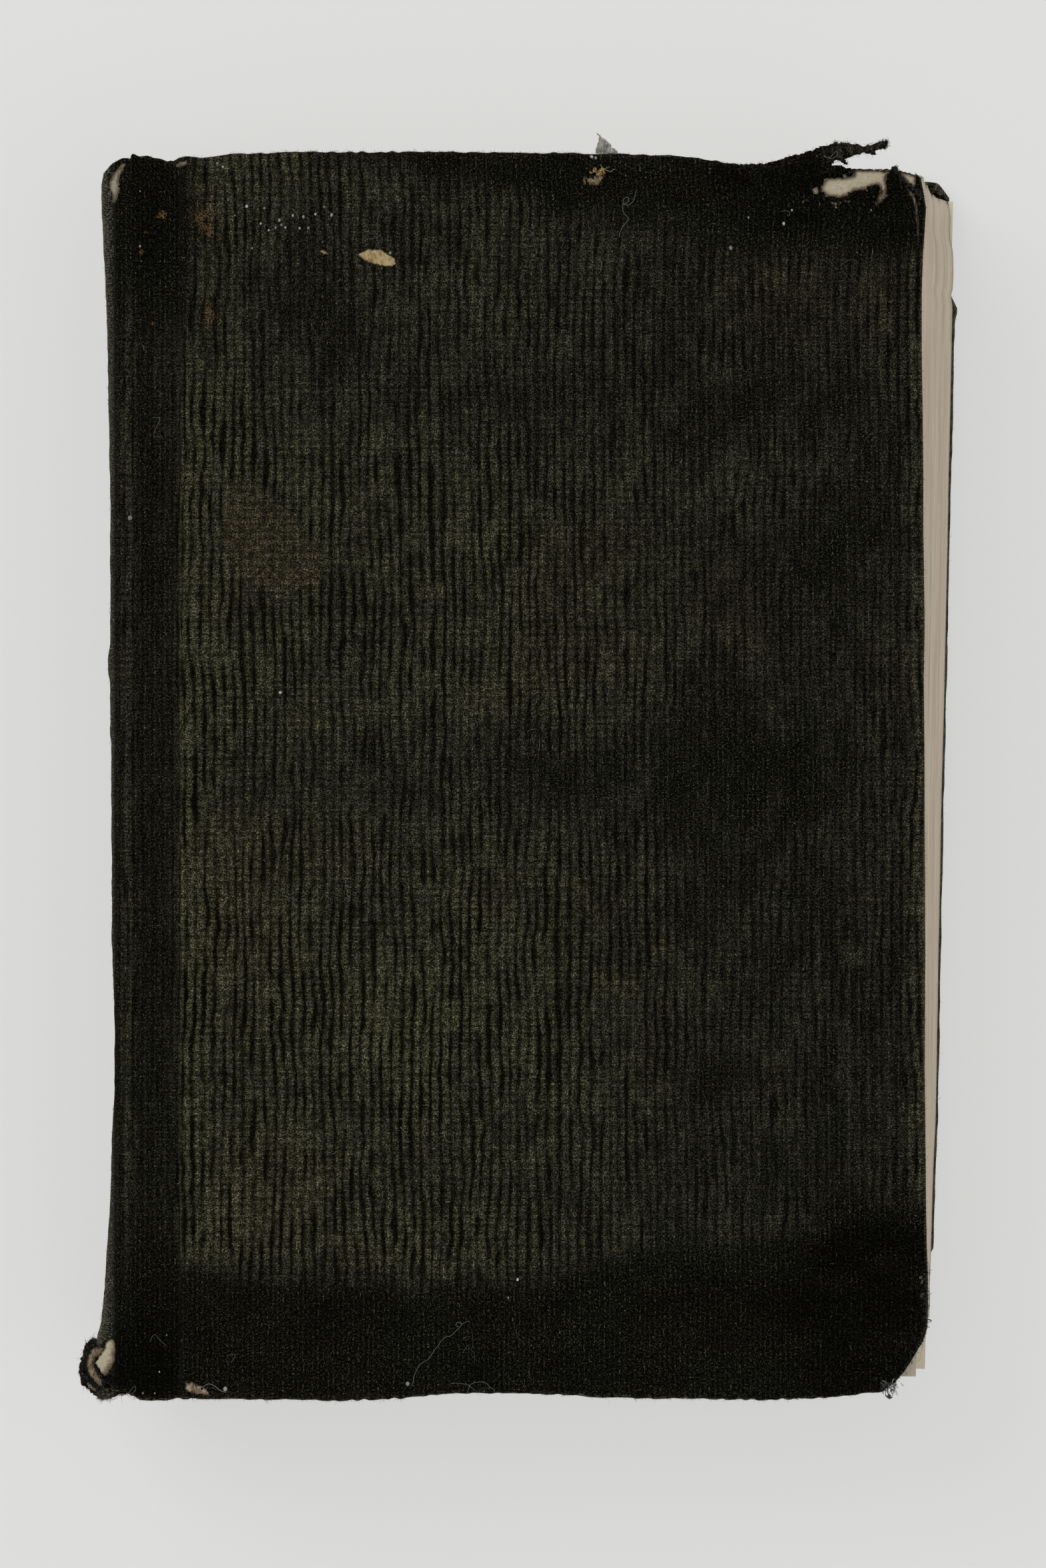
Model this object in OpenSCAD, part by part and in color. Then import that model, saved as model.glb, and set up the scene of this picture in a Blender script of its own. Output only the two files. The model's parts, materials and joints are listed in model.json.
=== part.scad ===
// Clothbound hardback book with a worn case, lying on its back cover. Millimetres.
// X runs from the spine to the fore-edge, Y from the tail to the head, Z up from the back cover.
// The origin is on the underside of the back cover. The front cover is square to the axes. The pages
// and the back cover lean away from it and twist, as in a book that stood askew on a shelf.

/* [Case] */
// Height of the covers from tail to head
case_h = 165; // [140:1:220]
// Width of a cover from the joint groove to the fore-edge
cover_w = 98.2; // [80:0.1:140]
// Thickness of a board
board_t = 2; // [1.4:0.1:3]
// How much wider the front cover is at its tail than at its head
fore_flare = 0.8; // [0:0.1:1.5]
// Width of the ridge between the spine and the joint groove
ridge_w = 3.8; // [3.2:0.1:5]
// Width of the joint groove
groove_w = 4.9; // [4.5:0.1:7]
// Depth of the joint groove below the ridge
groove_d = 1.4; // [0.8:0.1:1.5]
// Rounding between the ridge and the side of the spine
ridge_r = 1.2; // [0.9:0.1:1.6]

/* [Cloth] */
// Thickness of the cloth between its ribs
cloth_t = 0.3; // [0.2:0.05:0.4]
// Height of a rib of the weave
rib_h = 0.15; // [0.08:0.01:0.2]
// Distance between ribs
rib_pitch = 1.3; // [1:0.05:2]
// Width of the cloth that is turned in round the boards
turn_w = 13; // [9:0.5:18]
// Thickness of the turned-in cloth, pressed flat
turn_t = 0.3; // [0.2:0.05:0.4]

/* [Pages] */
// Thickness of the page block with its flyleaves
block_t = 20; // [14:0.5:32]
// Thickness of one folded gathering
gather_t = 1.5; // [1:0.1:3]
// Thickness of an endpaper leaf
leaf_t = 0.15; // [0.1:0.01:0.25]
// Distance from the pages to the edge of the cover at the fore-edge
fore_square = 0.6; // [0.4:0.1:3]
// Distance from the pages to the edge of the cover at head and tail
end_square = 2.7; // [2:0.1:5]
// How far the gatherings are trimmed out of line
page_jog = 0.12; // [0:0.01:0.2]
// How far the folds are rounded in the middle of the spine
round_d = 2.2; // [1:0.1:3]
// How far the outer folds are bent over into a shoulder
shoulder_h = 1.6; // [1:0.1:2]
// Distance from the edge of the cover to the edge of a pastedown
paste_square = 3; // [2:0.5:8]

/* [Spine layers] */
// Thickness of the card strip in the spine
inlay_t = 0.5; // [0.3:0.05:0.7]
// Thickness of the gauze across the folds
mull_t = 0.15; // [0.1:0.05:0.3]
// Thickness of the paper over the gauze
lining_t = 0.15; // [0.1:0.05:0.3]

/* [Fits] */
// Gap between a pastedown and the flyleaf that faces it
leaf_gap = 0.3; // [0.2:0.05:0.6]
// Gap in the groove between the cloth of the spine and the cloth of a cover
joint_gap = 0.3; // [0.2:0.05:0.5]
// Gap between two layers of the spine
layer_gap = 0.08; // [0.06:0.01:0.12]
// How deep neighbouring gatherings are pressed into each other where they lie flat
press_in = 0.02; // [0.01:0.01:0.05]

/* [Lean] */
// How far the back cover has slipped towards the fore-edge
lean = 5; // [0:0.5:6]
// How far the back cover has turned under the front cover, in degrees
twist = 1.45; // [0:0.05:2]

/* [Wear] */
// How far the cloth of the spine flares out at its tail
tail_flare = 4.2; // [0:0.1:5]
// Length of that flare
tail_flare_l = 18; // [10:1:30]
// How far the spine bulges at its head
head_bulge = 1.2; // [0:0.1:2]
// Length of that bulge
head_bulge_l = 40; // [20:1:60]
// How far the ends of the spine are worn short at their middle
cap_wear = 4; // [0:0.5:6]
// How far the head edge of the front cover is worn down near its fore corner
head_wear = 1.8; // [0:0.1:2.5]
// Distance from the fore-edge at which that wear starts
head_wear_start = 42; // [35:1:60]
// Distance from the fore-edge at which that wear is full
head_wear_full = 24; // [22:1:30]
// Length of the tear that lays the front board bare
tear_l = 10; // [6:0.5:14]
// Width of that tear from the head edge
tear_w = 4.4; // [3:0.2:6]
// How far the torn tongue of cloth stands out past the head edge
tongue_out = 3.4; // [1:0.2:5]
// How far the broken head corner of the back board is worn back
back_wear = 0.8; // [0:0.1:2]
// Length of that worn edge
back_wear_l = 18; // [10:1:30]

/* [Hidden] */

cloth_colour = [0.19, 0.20, 0.16];
board_colour = [0.68, 0.63, 0.53];
page_colour = [0.82, 0.77, 0.68];
endpaper_colour = [0.85, 0.81, 0.73];
card_colour = [0.62, 0.56, 0.46];
gauze_colour = [0.80, 0.78, 0.70];

// Stack of one cover, counted from its outer face
skin_t = cloth_t + rib_h;
board_in = skin_t + board_t;
cover_t = board_in + turn_t + leaf_t;

// Heights are counted from the middle of the book, because both halves mirror each other
half_block = block_t/2;
z_mid = cover_t + leaf_gap + half_block;
half_pages = half_block - leaf_t;
ridge_h = half_block + shoulder_h + 2*layer_gap + inlay_t + skin_t;
side_h = ridge_h - ridge_r;

// Places across the book
spine_x = -(ridge_w + groove_w + cover_w)/2;
wall_x = spine_x + ridge_w;
edge_x = wall_x + groove_w;
fore_x = edge_x + cover_w;
page_fore_x = fore_x - fore_square;
page_h = case_h - 2*end_square;

// Layers between the outside of the spine and the folds, where the side of the spine slopes
side_slope = 1.15;
gather_n = max(3, round(2*half_pages/gather_t));
fold_t = 2*half_pages/gather_n;
lean_step = (lean + case_h/2*sin(twist))/gather_n;
fold_x = spine_x + side_slope*(skin_t + inlay_t + lining_t + mull_t + 4*layer_gap) + lean_step/2;

// The pages rise from flat to the shoulder between these two places
rise_x = edge_x - 0.45*groove_w;
crown_x = wall_x - 0.3*ridge_w;

function smooth(t) = t*t*(3 - 2*t);
function clamp01(t) = min(1, max(0, t));
function steps(n) = [for (i = [0:n]) i/n];

// Share of lean and twist at a height on the spine: 0 at the front shoulder and 1 at the back shoulder
function lean_share(h) = clamp01(0.5 - h/(block_t + 2*shoulder_h));

// Point [x, y, h] of the square book, moved by the lean and the twist
function leaned(p) =
    let (f = lean_share(p[2]), a = -twist*f)
    [lean*f + p[0]*cos(a) - p[1]*sin(a), p[0]*sin(a) + p[1]*cos(a), z_mid + p[2]];

module leaning(f) {
    translate([lean*f, 0, z_mid])
        rotate([0, 0, -twist*f])
            children();
}

// A cover is drawn with its outer face down at z = 0, then put at the back or turned over to the front
module at_back() {
    translate([lean, 0, 0])
        rotate([0, 0, -twist])
            children();
}

module at_front() {
    translate([0, 0, 2*z_mid])
        mirror([0, 0, 1])
            children();
}

// Outlines of the covers

corner_steps = 6;
joint_corner = [0.8, 0.8];
tail_corner = [4, 12];
front_head_corner = [4, 2.5];
back_head_cut = [3.6, 2.3];
back_wear_run = 2;

// Points of a worn corner at [x, y], r long each way, from the angle a0 to a quarter turn further
function worn_corner(x, y, r, a0) =
    let (sx = cos(a0 + 45) > 0 ? 1 : -1, sy = sin(a0 + 45) > 0 ? 1 : -1)
    [for (t = steps(corner_steps))
        let (a = a0 + 90*t)
        [x + r[0]*(cos(a) - sx), y + r[1]*(sin(a) - sy)]];

function shrunk(r, inset) = [max(r[0] - inset, 0.2), max(r[1] - inset, 0.2)];

function joint_side(inset) =
    concat(
        worn_corner(edge_x + inset, case_h/2 - inset, shrunk(joint_corner, inset), 90),
        worn_corner(edge_x + inset, -case_h/2 + inset, shrunk(joint_corner, inset), 180));

function front_outline(inset) =
    concat(
        worn_corner(fore_x + fore_flare/2 - inset, -case_h/2 + inset, shrunk(tail_corner, inset), -90),
        worn_corner(fore_x - fore_flare/2 - inset, case_h/2 - head_wear - inset,
            shrunk(front_head_corner, inset), 0),
        [
            [fore_x - head_wear_full, case_h/2 - head_wear - inset],
            [fore_x - head_wear_start, case_h/2 - inset]
        ],
        joint_side(inset));

function back_outline(inset) =
    let (worn_x = fore_x - back_wear - inset, head_y = case_h/2 - inset)
    concat(
        worn_corner(fore_x - inset, -case_h/2 + inset, shrunk(tail_corner, inset), -90),
        [
            [fore_x - inset, head_y - back_wear_l - back_wear_run],
            [worn_x, head_y - back_wear_l],
            [worn_x, head_y - back_head_cut[1]],
            [worn_x + back_wear - back_head_cut[0], head_y]
        ],
        joint_side(inset));

// Covers, drawn with the outer face down at z = 0

// Section of the ribbed cloth: a row of flat-topped ribs under a block as high as the cover
rib_n = ceil(cover_w/rib_pitch);
flank = 0.15*rib_pitch;
crest = 0.55*rib_pitch;
rib_wander = 0.1*rib_pitch;
function rib_start(i) = edge_x + (i - 0.5)*rib_pitch + rib_wander*sin(97*i);

module ribbed_block(height) {
    ribs = [for (i = [0:rib_n])
        let (x = rib_start(i))
        each [[x, rib_h], [x + flank, 0], [x + flank + crest, 0], [x + 2*flank + crest, rib_h]]];
    right = rib_start(rib_n + 1);
    rotate([90, 0, 0])
        linear_extrude(height = case_h + 2*tongue_out, center = true)
            polygon(concat(ribs, [[right, rib_h], [right, height], [rib_start(0), height]]));
}

module prism(points, z0, z1) {
    translate([0, 0, z0])
        linear_extrude(height = z1 - z0)
            polygon(points);
}

// Space inside the turned-in cloth, open towards the joint
module turn_in_window(window, z0, z1) {
    prism(window, z0, z1);
    reach = turn_w + 2;
    translate([edge_x - 1, -case_h/2 + turn_w, z0])
        cube([reach + 1, case_h - 2*turn_w, z1 - z0]);
}

module cover_cloth(outside, board, window) {
    difference() {
        intersection() {
            prism(outside, -1, board_in + turn_t);
            ribbed_block(board_in + turn_t);
        }
        prism(board, skin_t, board_in);
        turn_in_window(window, board_in, board_in + turn_t + 1);
    }
}

// The pastedown lies on the board and steps up over the turned-in cloth
module pastedown(outside, window, inner_window) {
    difference() {
        prism(outside, board_in, cover_t);
        difference() {
            prism(outside, board_in - 1, board_in + turn_t);
            turn_in_window(window, board_in - 2, cover_t);
        }
        turn_in_window(inner_window, board_in + leaf_t, cover_t + 1);
    }
}

// Tear, corner tear and tongue on the front cover. Places are counted from its head fore corner,
// in shares of the length and the width of the tear.
corner_at = [fore_x, case_h/2 - head_wear];
tear_from = 3.8;
function tear_point(along, down) = corner_at + [-tear_from - along*tear_l, -down*tear_w];
tear_points = [
    tear_point(0, -1), tear_point(0, 0.3), tear_point(0.1, 0.58), tear_point(0.26, 0.76),
    tear_point(0.43, 0.86), tear_point(0.58, 1), tear_point(0.8, 0.98), tear_point(0.94, 0.8),
    tear_point(1, 0.52), tear_point(0.88, 0.3), tear_point(0.7, 0.2), tear_point(0.74, -1)
];
corner_tear_w = 2.6;
corner_tear_points = [for (p = [[0.4, -1], [0.4, 0.9], [0.7, 1.1], [1.2, 0.4], [1.2, -1]])
    corner_at - p*corner_tear_w];

// Tongue of cloth that has come away from the head edge, as shares of its length and reach
tongue_l = tear_l + 6;
tongue_t = [0.2, 1];
function tongue_point(along, out) = [corner_at[0] - tear_from - along*tongue_l, corner_at[1] + out*tongue_out];
tongue_points = [
    tongue_point(1, -0.2), tongue_point(0.76, 0.25), tongue_point(0.6, 0.6), tongue_point(0.45, 0.84),
    tongue_point(0.26, 0.86), tongue_point(0.15, 0.76), tongue_point(0.02, 1), tongue_point(0, 0.88),
    tongue_point(0.12, 0.62), tongue_point(0.2, 0.46), tongue_point(0.32, 0.4), tongue_point(0.45, 0.2),
    tongue_point(0.52, -0.3), tongue_point(0.7, -0.6)
];

module front_board() {
    color(board_colour)
        at_front()
            prism(front_outline(cloth_t), skin_t, board_in);
}

module front_cloth() {
    color(cloth_colour)
        at_front() {
            difference() {
                cover_cloth(front_outline(0), front_outline(cloth_t), front_outline(turn_w));
                prism(tear_points, -1, board_in);
                prism(corner_tear_points, -1, board_in);
            }
            difference() {
                prism(tongue_points, tongue_t[0], tongue_t[1]);
                prism(front_outline(cloth_t), skin_t, board_in);
            }
        }
}

module front_pastedown() {
    color(endpaper_colour)
        at_front()
            pastedown(front_outline(paste_square), front_outline(turn_w), front_outline(turn_w + leaf_t));
}

module back_board() {
    color(board_colour)
        at_back()
            prism(back_outline(cloth_t), skin_t, board_in);
}

module back_cloth() {
    color(cloth_colour)
        at_back()
            cover_cloth(back_outline(0), back_outline(cloth_t), back_outline(turn_w));
}

module back_pastedown() {
    color(endpaper_colour)
        at_back()
            pastedown(back_outline(paste_square), back_outline(turn_w), back_outline(turn_w + leaf_t));
}

// Pages: folded gatherings, each a little further over and further round than the one above it

rise_steps = 5;
fold_steps = 6;
fold_depth = 0.8;
shoulder_lap = 0.3;
lap_run = 0.25;

// Share of the way to the shoulder, the rise there, and how much thicker the block is
function climb(x) = clamp01((rise_x - x)/(rise_x - crown_x));
function risen(x) = smooth(climb(x));
function swell(x) = 1 + risen(x)*shoulder_h/half_block;
function side_x(u) = -round_d*(1 - u*u);

// Line of a leaf at height h from the fore-edge over the shoulder, pressed by lap into its neighbour
function leaf_line(h, x_from, x_end, lap) =
    [for (x = concat([x_from], [for (t = steps(rise_steps)) rise_x + (crown_x - rise_x)*t], x_end))
        [x, h*swell(x) + lap*(press_in + shoulder_lap*min(1, climb(x)/lap_run))]];

function reversed(list) = [for (i = [len(list) - 1:-1:0]) list[i]];

module gathering(i) {
    low = -half_pages + i*fold_t;
    high = low + fold_t;
    mid = (low + high)/2;
    lap_low = mid > fold_t/4 ? -1 : 0;
    lap_high = mid < -fold_t/4 ? 1 : 0;
    full = swell(spine_x);
    tip = fold_x + side_x(mid*full/side_h);
    r = full*fold_t/2;
    x_end = tip + fold_depth*r;
    fore = page_fore_x + side_x(mid/half_pages) + page_jog*sin(137*i);
    fold = [for (t = steps(fold_steps))
        [x_end - fold_depth*r*sin(180*t), mid*full - r*cos(180*t)]];
    leaning(lean_share(mid*full))
        rotate([90, 0, 0])
            translate([0, 0, page_jog*sin(71*i)])
                linear_extrude(height = page_h, center = true)
                    polygon(concat(
                        leaf_line(low, fore, [x_end], lap_low),
                        fold,
                        reversed(leaf_line(high, fore, [x_end], lap_high))));
}

module text_block() {
    color(page_colour)
        for (i = [0:gather_n - 1])
            gathering(i);
}

// A flyleaf lies on the outermost gathering, up to its shoulder; side is 1 at the front, -1 at the back
module flyleaf(side) {
    inner = leaf_line(side*half_pages, page_fore_x, [], 0);
    outer = leaf_line(side*half_block, page_fore_x, [], 0);
    leaning(lean_share(side*(half_pages - fold_t/2)*swell(spine_x)))
        rotate([90, 0, 0])
            linear_extrude(height = page_h, center = true)
                polygon(concat(inner, reversed(outer)));
}

module front_flyleaf() {
    color(endpaper_colour)
        flyleaf(1);
}

module back_flyleaf() {
    color(endpaper_colour)
        flyleaf(-1);
}

// Spine: one path from the front groove over the ridges to the back groove, as [x, h]

lip_rise = 0.3;
function side_point(u) = [spine_x + side_x(u), side_h*u];
front_path = [
    [edge_x - joint_gap, ridge_h - groove_d + lip_rise],
    [edge_x - groove_w/2, ridge_h - groove_d],
    [wall_x, ridge_h - 0.45*groove_d],
    [wall_x - 0.45*ridge_w, ridge_h],
    [spine_x + 0.2*ridge_r, ridge_h - 0.55*ridge_r],
    side_point(0.86), side_point(0.6), side_point(0.3), side_point(0)
];
mirrored_path = [for (i = [len(front_path) - 2:-1:0]) [front_path[i][0], -front_path[i][1]]];
knots = concat(front_path, mirrored_path);
span_steps = 4;
last_knot = len(knots) - 1;
wall_column = 2*span_steps;
side_column = 5*span_steps;
last_column = last_knot*span_steps;

function knot(i) =
    i < 0 ? 2*knots[0] - knots[1] :
    i > last_knot ? 2*knots[last_knot] - knots[last_knot - 1] : knots[i];

function along_span(a, b, c, d, t) =
    0.5*(2*b + (c - a)*t + (2*a - 5*b + 4*c - d)*t*t + (3*b - a - 3*c + d)*t*t*t);

path = [for (k = [0:last_column])
    let (i = floor(k/span_steps), t = k/span_steps - i)
    along_span(knot(i - 1), knot(i), knot(i + 1), knot(i + 2), t)];

// Unit vector out of the spine at column k
function outward(k) =
    let (t = path[min(k + 1, last_column)] - path[max(k - 1, 0)])
    [t[1], -t[0]]/norm(t);

// The bulges stay at the height between the two opened covers
bulge_h = half_block - cover_t;
function bulge_share(h) = abs(h) < bulge_h ? 0.5 + 0.5*cos(180*h/bulge_h) : 0;
function bulge(y, h) = bulge_share(h)*(
    tail_flare*smooth(clamp01(1 - (y + case_h/2)/tail_flare_l))
    + head_bulge*smooth(clamp01(1 - (case_h/2 - y)/head_bulge_l)));

// Rows along the spine, close together in the flare and the bulge
flare_share = tail_flare_l/case_h;
bulge_start = 1 - head_bulge_l/case_h;
worn_rows = concat(
    [for (t = steps(7)) flare_share*t],
    [for (t = [1/3, 2/3]) flare_share + (bulge_start - flare_share)*t],
    [for (t = steps(4)) bulge_start + (1 - bulge_start)*t]);
plain_rows = steps(4);

function cap_y(h, y_end) = y_end - sign(y_end)*cap_wear*pow(cos(90*h/ridge_h), 2);

// Point of the worn case at row share s, column k, off millimetres out of the path
function case_point(s, k, off, y_end) =
    let (p = path[k] + off*outward(k), y0 = cap_y(p[1], -y_end), y1 = cap_y(p[1], y_end), y = y0 + (y1 - y0)*s)
    leaned([p[0] - bulge(y, p[1]), y, p[1]]);

// Point of a layer on the folds, which keeps clear of the bulges
function fold_point(s, k, off, y_end) =
    let (p = path[k] + off*outward(k))
    leaned([p[0], y_end*(2*s - 1), p[1]]);

// Closed sheet from two grids of points, rows along Y and columns from the front to the back
module sheet(outer, inner) {
    rows = len(outer);
    cols = len(outer[0]);
    n = rows*cols;
    function at(layer, r, c) = layer*n + r*cols + c;
    quads = concat(
        [for (r = [0:rows - 2]) for (c = [0:cols - 2]) each [
            [at(0, r, c), at(0, r, c + 1), at(0, r + 1, c + 1), at(0, r + 1, c)],
            [at(1, r, c), at(1, r + 1, c), at(1, r + 1, c + 1), at(1, r, c + 1)]]],
        [for (c = [0:cols - 2]) each [
            [at(0, 0, c), at(1, 0, c), at(1, 0, c + 1), at(0, 0, c + 1)],
            [at(0, rows - 1, c), at(0, rows - 1, c + 1), at(1, rows - 1, c + 1), at(1, rows - 1, c)]]],
        [for (r = [0:rows - 2]) each [
            [at(0, r, 0), at(0, r + 1, 0), at(1, r + 1, 0), at(1, r, 0)],
            [at(0, r, cols - 1), at(1, r, cols - 1), at(1, r + 1, cols - 1), at(0, r + 1, cols - 1)]]]);
    polyhedron(
        points = concat([for (row = outer) each row], [for (row = inner) each row]),
        faces = [for (q = quads) each [[q[0], q[1], q[2]], [q[0], q[2], q[3]]]]);
}

module spine_cloth() {
    y_end = case_h/2;
    outer = [for (s = worn_rows) [for (k = [0:last_column])
        case_point(s, k, k % 2 == 0 ? -rib_h : 0, y_end)]];
    inner = [for (s = worn_rows) [for (k = [0:last_column]) case_point(s, k, -skin_t, y_end)]];
    color(cloth_colour)
        sheet(outer, inner);
}

module spine_inlay() {
    y_end = case_h/2 - cloth_t;
    out = -skin_t - layer_gap;
    columns = [wall_column + 3:2:last_column - wall_column - 3];
    color(card_colour)
        sheet(
            [for (s = worn_rows) [for (k = columns) case_point(s, k, out, y_end)]],
            [for (s = worn_rows) [for (k = columns) case_point(s, k, out - inlay_t, y_end)]]);
}

module fold_layer(out, thick) {
    columns = [side_column:span_steps/2:last_column - side_column];
    y_end = page_h/2 - 2;
    sheet(
        [for (s = plain_rows) [for (k = columns) fold_point(s, k, out, y_end)]],
        [for (s = plain_rows) [for (k = columns) fold_point(s, k, out - thick, y_end)]]);
}

lining_out = -skin_t - inlay_t - 2*layer_gap;
mull_out = lining_out - lining_t - layer_gap;

module spine_lining() {
    color(endpaper_colour)
        fold_layer(lining_out, lining_t);
}

module mull() {
    color(gauze_colour)
        fold_layer(mull_out, mull_t);
}

text_block();
front_flyleaf();
back_flyleaf();
mull();
spine_lining();
spine_inlay();
spine_cloth();
front_board();
front_cloth();
front_pastedown();
back_board();
back_cloth();
back_pastedown();
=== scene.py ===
import json
import math

import bmesh
import bpy
import numpy as np
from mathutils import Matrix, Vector
from mathutils.bvhtree import BVHTree


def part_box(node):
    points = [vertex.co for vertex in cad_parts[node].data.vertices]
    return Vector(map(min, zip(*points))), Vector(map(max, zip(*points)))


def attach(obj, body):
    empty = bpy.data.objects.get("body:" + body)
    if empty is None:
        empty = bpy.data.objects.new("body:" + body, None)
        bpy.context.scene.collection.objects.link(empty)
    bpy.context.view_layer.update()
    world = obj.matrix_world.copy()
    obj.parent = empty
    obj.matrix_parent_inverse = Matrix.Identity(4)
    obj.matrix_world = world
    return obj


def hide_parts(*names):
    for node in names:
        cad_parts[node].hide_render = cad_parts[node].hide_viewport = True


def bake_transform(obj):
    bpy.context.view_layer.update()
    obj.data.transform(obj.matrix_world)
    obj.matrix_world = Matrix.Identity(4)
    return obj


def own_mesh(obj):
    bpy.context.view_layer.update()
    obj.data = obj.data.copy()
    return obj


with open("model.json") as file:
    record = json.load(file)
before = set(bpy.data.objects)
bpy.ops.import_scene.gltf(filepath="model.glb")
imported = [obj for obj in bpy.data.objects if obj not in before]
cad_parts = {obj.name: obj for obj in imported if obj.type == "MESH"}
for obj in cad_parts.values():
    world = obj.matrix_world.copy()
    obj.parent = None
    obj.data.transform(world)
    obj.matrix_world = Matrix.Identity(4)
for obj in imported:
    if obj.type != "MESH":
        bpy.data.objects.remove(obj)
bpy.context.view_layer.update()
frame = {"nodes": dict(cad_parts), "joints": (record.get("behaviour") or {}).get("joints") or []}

MM = 0.001

# Sizes of the case, from the frame


def box_mm(node):
    low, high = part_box(node)
    return np.array(low) / MM, np.array(high) / MM


CLOTH_T = 0.3
RIB_H = 0.15
board_low, board_high = box_mm("front_board")
EDGE_X = board_low[0] - CLOTH_T
FORE_X = board_high[0] + CLOTH_T
COVER_W = FORE_X - EDGE_X
HALF_H = CLOTH_T - board_low[1]
TOP_Z = board_high[2] + CLOTH_T + RIB_H
MID_Z = TOP_Z / 2

# Spine, from its ridge to its middle
RIDGE_W = 3.8
GROOVE_W = 4.9
GROOVE_D = 1.4
RIDGE_R = 1.2
ROUND_D = 2.2
SPINE_X = EDGE_X - GROOVE_W - RIDGE_W
WALL_X = EDGE_X - GROOVE_W
RIDGE_Z = 12.71
SIDE_Z = RIDGE_Z - RIDGE_R
BULGE_Z = 6.6
BULGE_H = 5.4
CAP_WEAR = 4.0

# Pages
PAGE_HALF_H = 79.8
HALF_PAGES = 9.85
PAGE_FORE_X = 52.85
SHOULDER = 1.6
RISE_X = EDGE_X - 0.45 * GROOVE_W
CROWN_X = WALL_X - 0.3 * RIDGE_W
GATHERINGS = 13
LEAVES = 190
LEAF_JOG = 0.035

# Lean and twist of the pages and the back cover, from the hinge of the back cover
BACK_PIN_X = -50.8
back_joint = next(j for j in frame["joints"] if j["name"] == "back_cover_hinge")
TWIST = math.atan2(back_joint["axis"][0], back_joint["axis"][1])
LEAN = back_joint["pos_m"][0] / MM - BACK_PIN_X * math.cos(TWIST)
LEAN_SPAN = 2 * (HALF_PAGES + 0.15 + SHOULDER)


def smooth(t):
    t = np.clip(t, 0, 1)
    return t * t * (3 - 2 * t)


def lean_share(h):
    return np.clip(0.5 - h / LEAN_SPAN, 0, 1)


def leaned(x, y, h, share=None):
    """Points of the square book at [x, y, h], moved by the lean and the twist."""
    share = lean_share(h) if share is None else share
    a = -TWIST * share
    return np.stack([
        LEAN * share + x * np.cos(a) - y * np.sin(a),
        x * np.sin(a) + y * np.cos(a),
        MID_Z + h + 0 * x,
    ], axis=-1)


# Camera, straight above the book, and the places of photograph pixels under it
IMAGE_W = 1568
IMAGE_H = 2350
PX = 0.0883
CAMERA_UP = 700.0
CAMERA_AT = np.array([0.735, -1.10, TOP_Z + CAMERA_UP])
SENSOR = 36.0


def from_pixel(px, py):
    """The point in the plane of the front cover under a pixel."""
    x = CAMERA_AT[0] + (np.asarray(px, float) - IMAGE_W / 2) * PX
    y = CAMERA_AT[1] + (IMAGE_H / 2 - np.asarray(py, float)) * PX
    return x, y


def to_pixel(points):
    """The pixels at which points show, as two columns."""
    reach = (CAMERA_AT[2] - points[..., 2]) / CAMERA_UP
    px = IMAGE_W / 2 + (points[..., 0] - CAMERA_AT[0]) / (PX * reach)
    py = IMAGE_H / 2 - (points[..., 1] - CAMERA_AT[1]) / (PX * reach)
    return np.stack([px, py], axis=-1)


def at_height(px, py, z):
    """Points at given heights that show at given pixels."""
    reach = PX * (CAMERA_AT[2] - z) / CAMERA_UP
    return np.stack([
        CAMERA_AT[0] + (px - IMAGE_W / 2) * reach,
        CAMERA_AT[1] + (IMAGE_H / 2 - py) * reach,
        z + 0 * px,
    ], axis=-1)


def make_camera():
    data = bpy.data.cameras.new("camera")
    data.sensor_width = SENSOR
    data.lens = SENSOR * CAMERA_UP / (IMAGE_H * PX)
    data.clip_start = 0.05
    data.clip_end = 20
    camera = bpy.data.objects.new("camera", data)
    camera.location = CAMERA_AT * MM
    bpy.context.scene.collection.objects.link(camera)
    bpy.context.scene.camera = camera


make_camera()

# Random numbers and outlines

LATTICE = 64


def soft_noise(x, y, cell_x, cell_y, seed):
    """Smooth random numbers from -1 to 1 over a plane, with one lattice point per cell."""
    table = np.random.default_rng(seed).uniform(-1, 1, (LATTICE, LATTICE))
    gx = np.asarray(x) / cell_x + 7 * LATTICE
    gy = np.asarray(y) / cell_y + 7 * LATTICE
    ix = np.floor(gx).astype(int)
    iy = np.floor(gy).astype(int)
    tx = smooth(gx - ix)
    ty = smooth(gy - iy)
    a = table[ix % LATTICE, iy % LATTICE]
    b = table[(ix + 1) % LATTICE, iy % LATTICE]
    c = table[ix % LATTICE, (iy + 1) % LATTICE]
    d = table[(ix + 1) % LATTICE, (iy + 1) % LATTICE]
    return (a * (1 - tx) + b * tx) * (1 - ty) + (c * (1 - tx) + d * tx) * ty


def ragged(outline, step, amount, seed):
    """An outline cut into short steps and roughened. All in pixels."""
    random = np.random.default_rng(seed)
    corners = np.array(outline, float)
    made = []
    for a, b in zip(corners, np.roll(corners, -1, axis=0)):
        count = max(1, int(np.linalg.norm(b - a) / step))
        for t in np.arange(count) / count:
            made.append(a + (b - a) * t)
    made = np.array(made)
    return made + random.normal(0, amount, made.shape)


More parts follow.
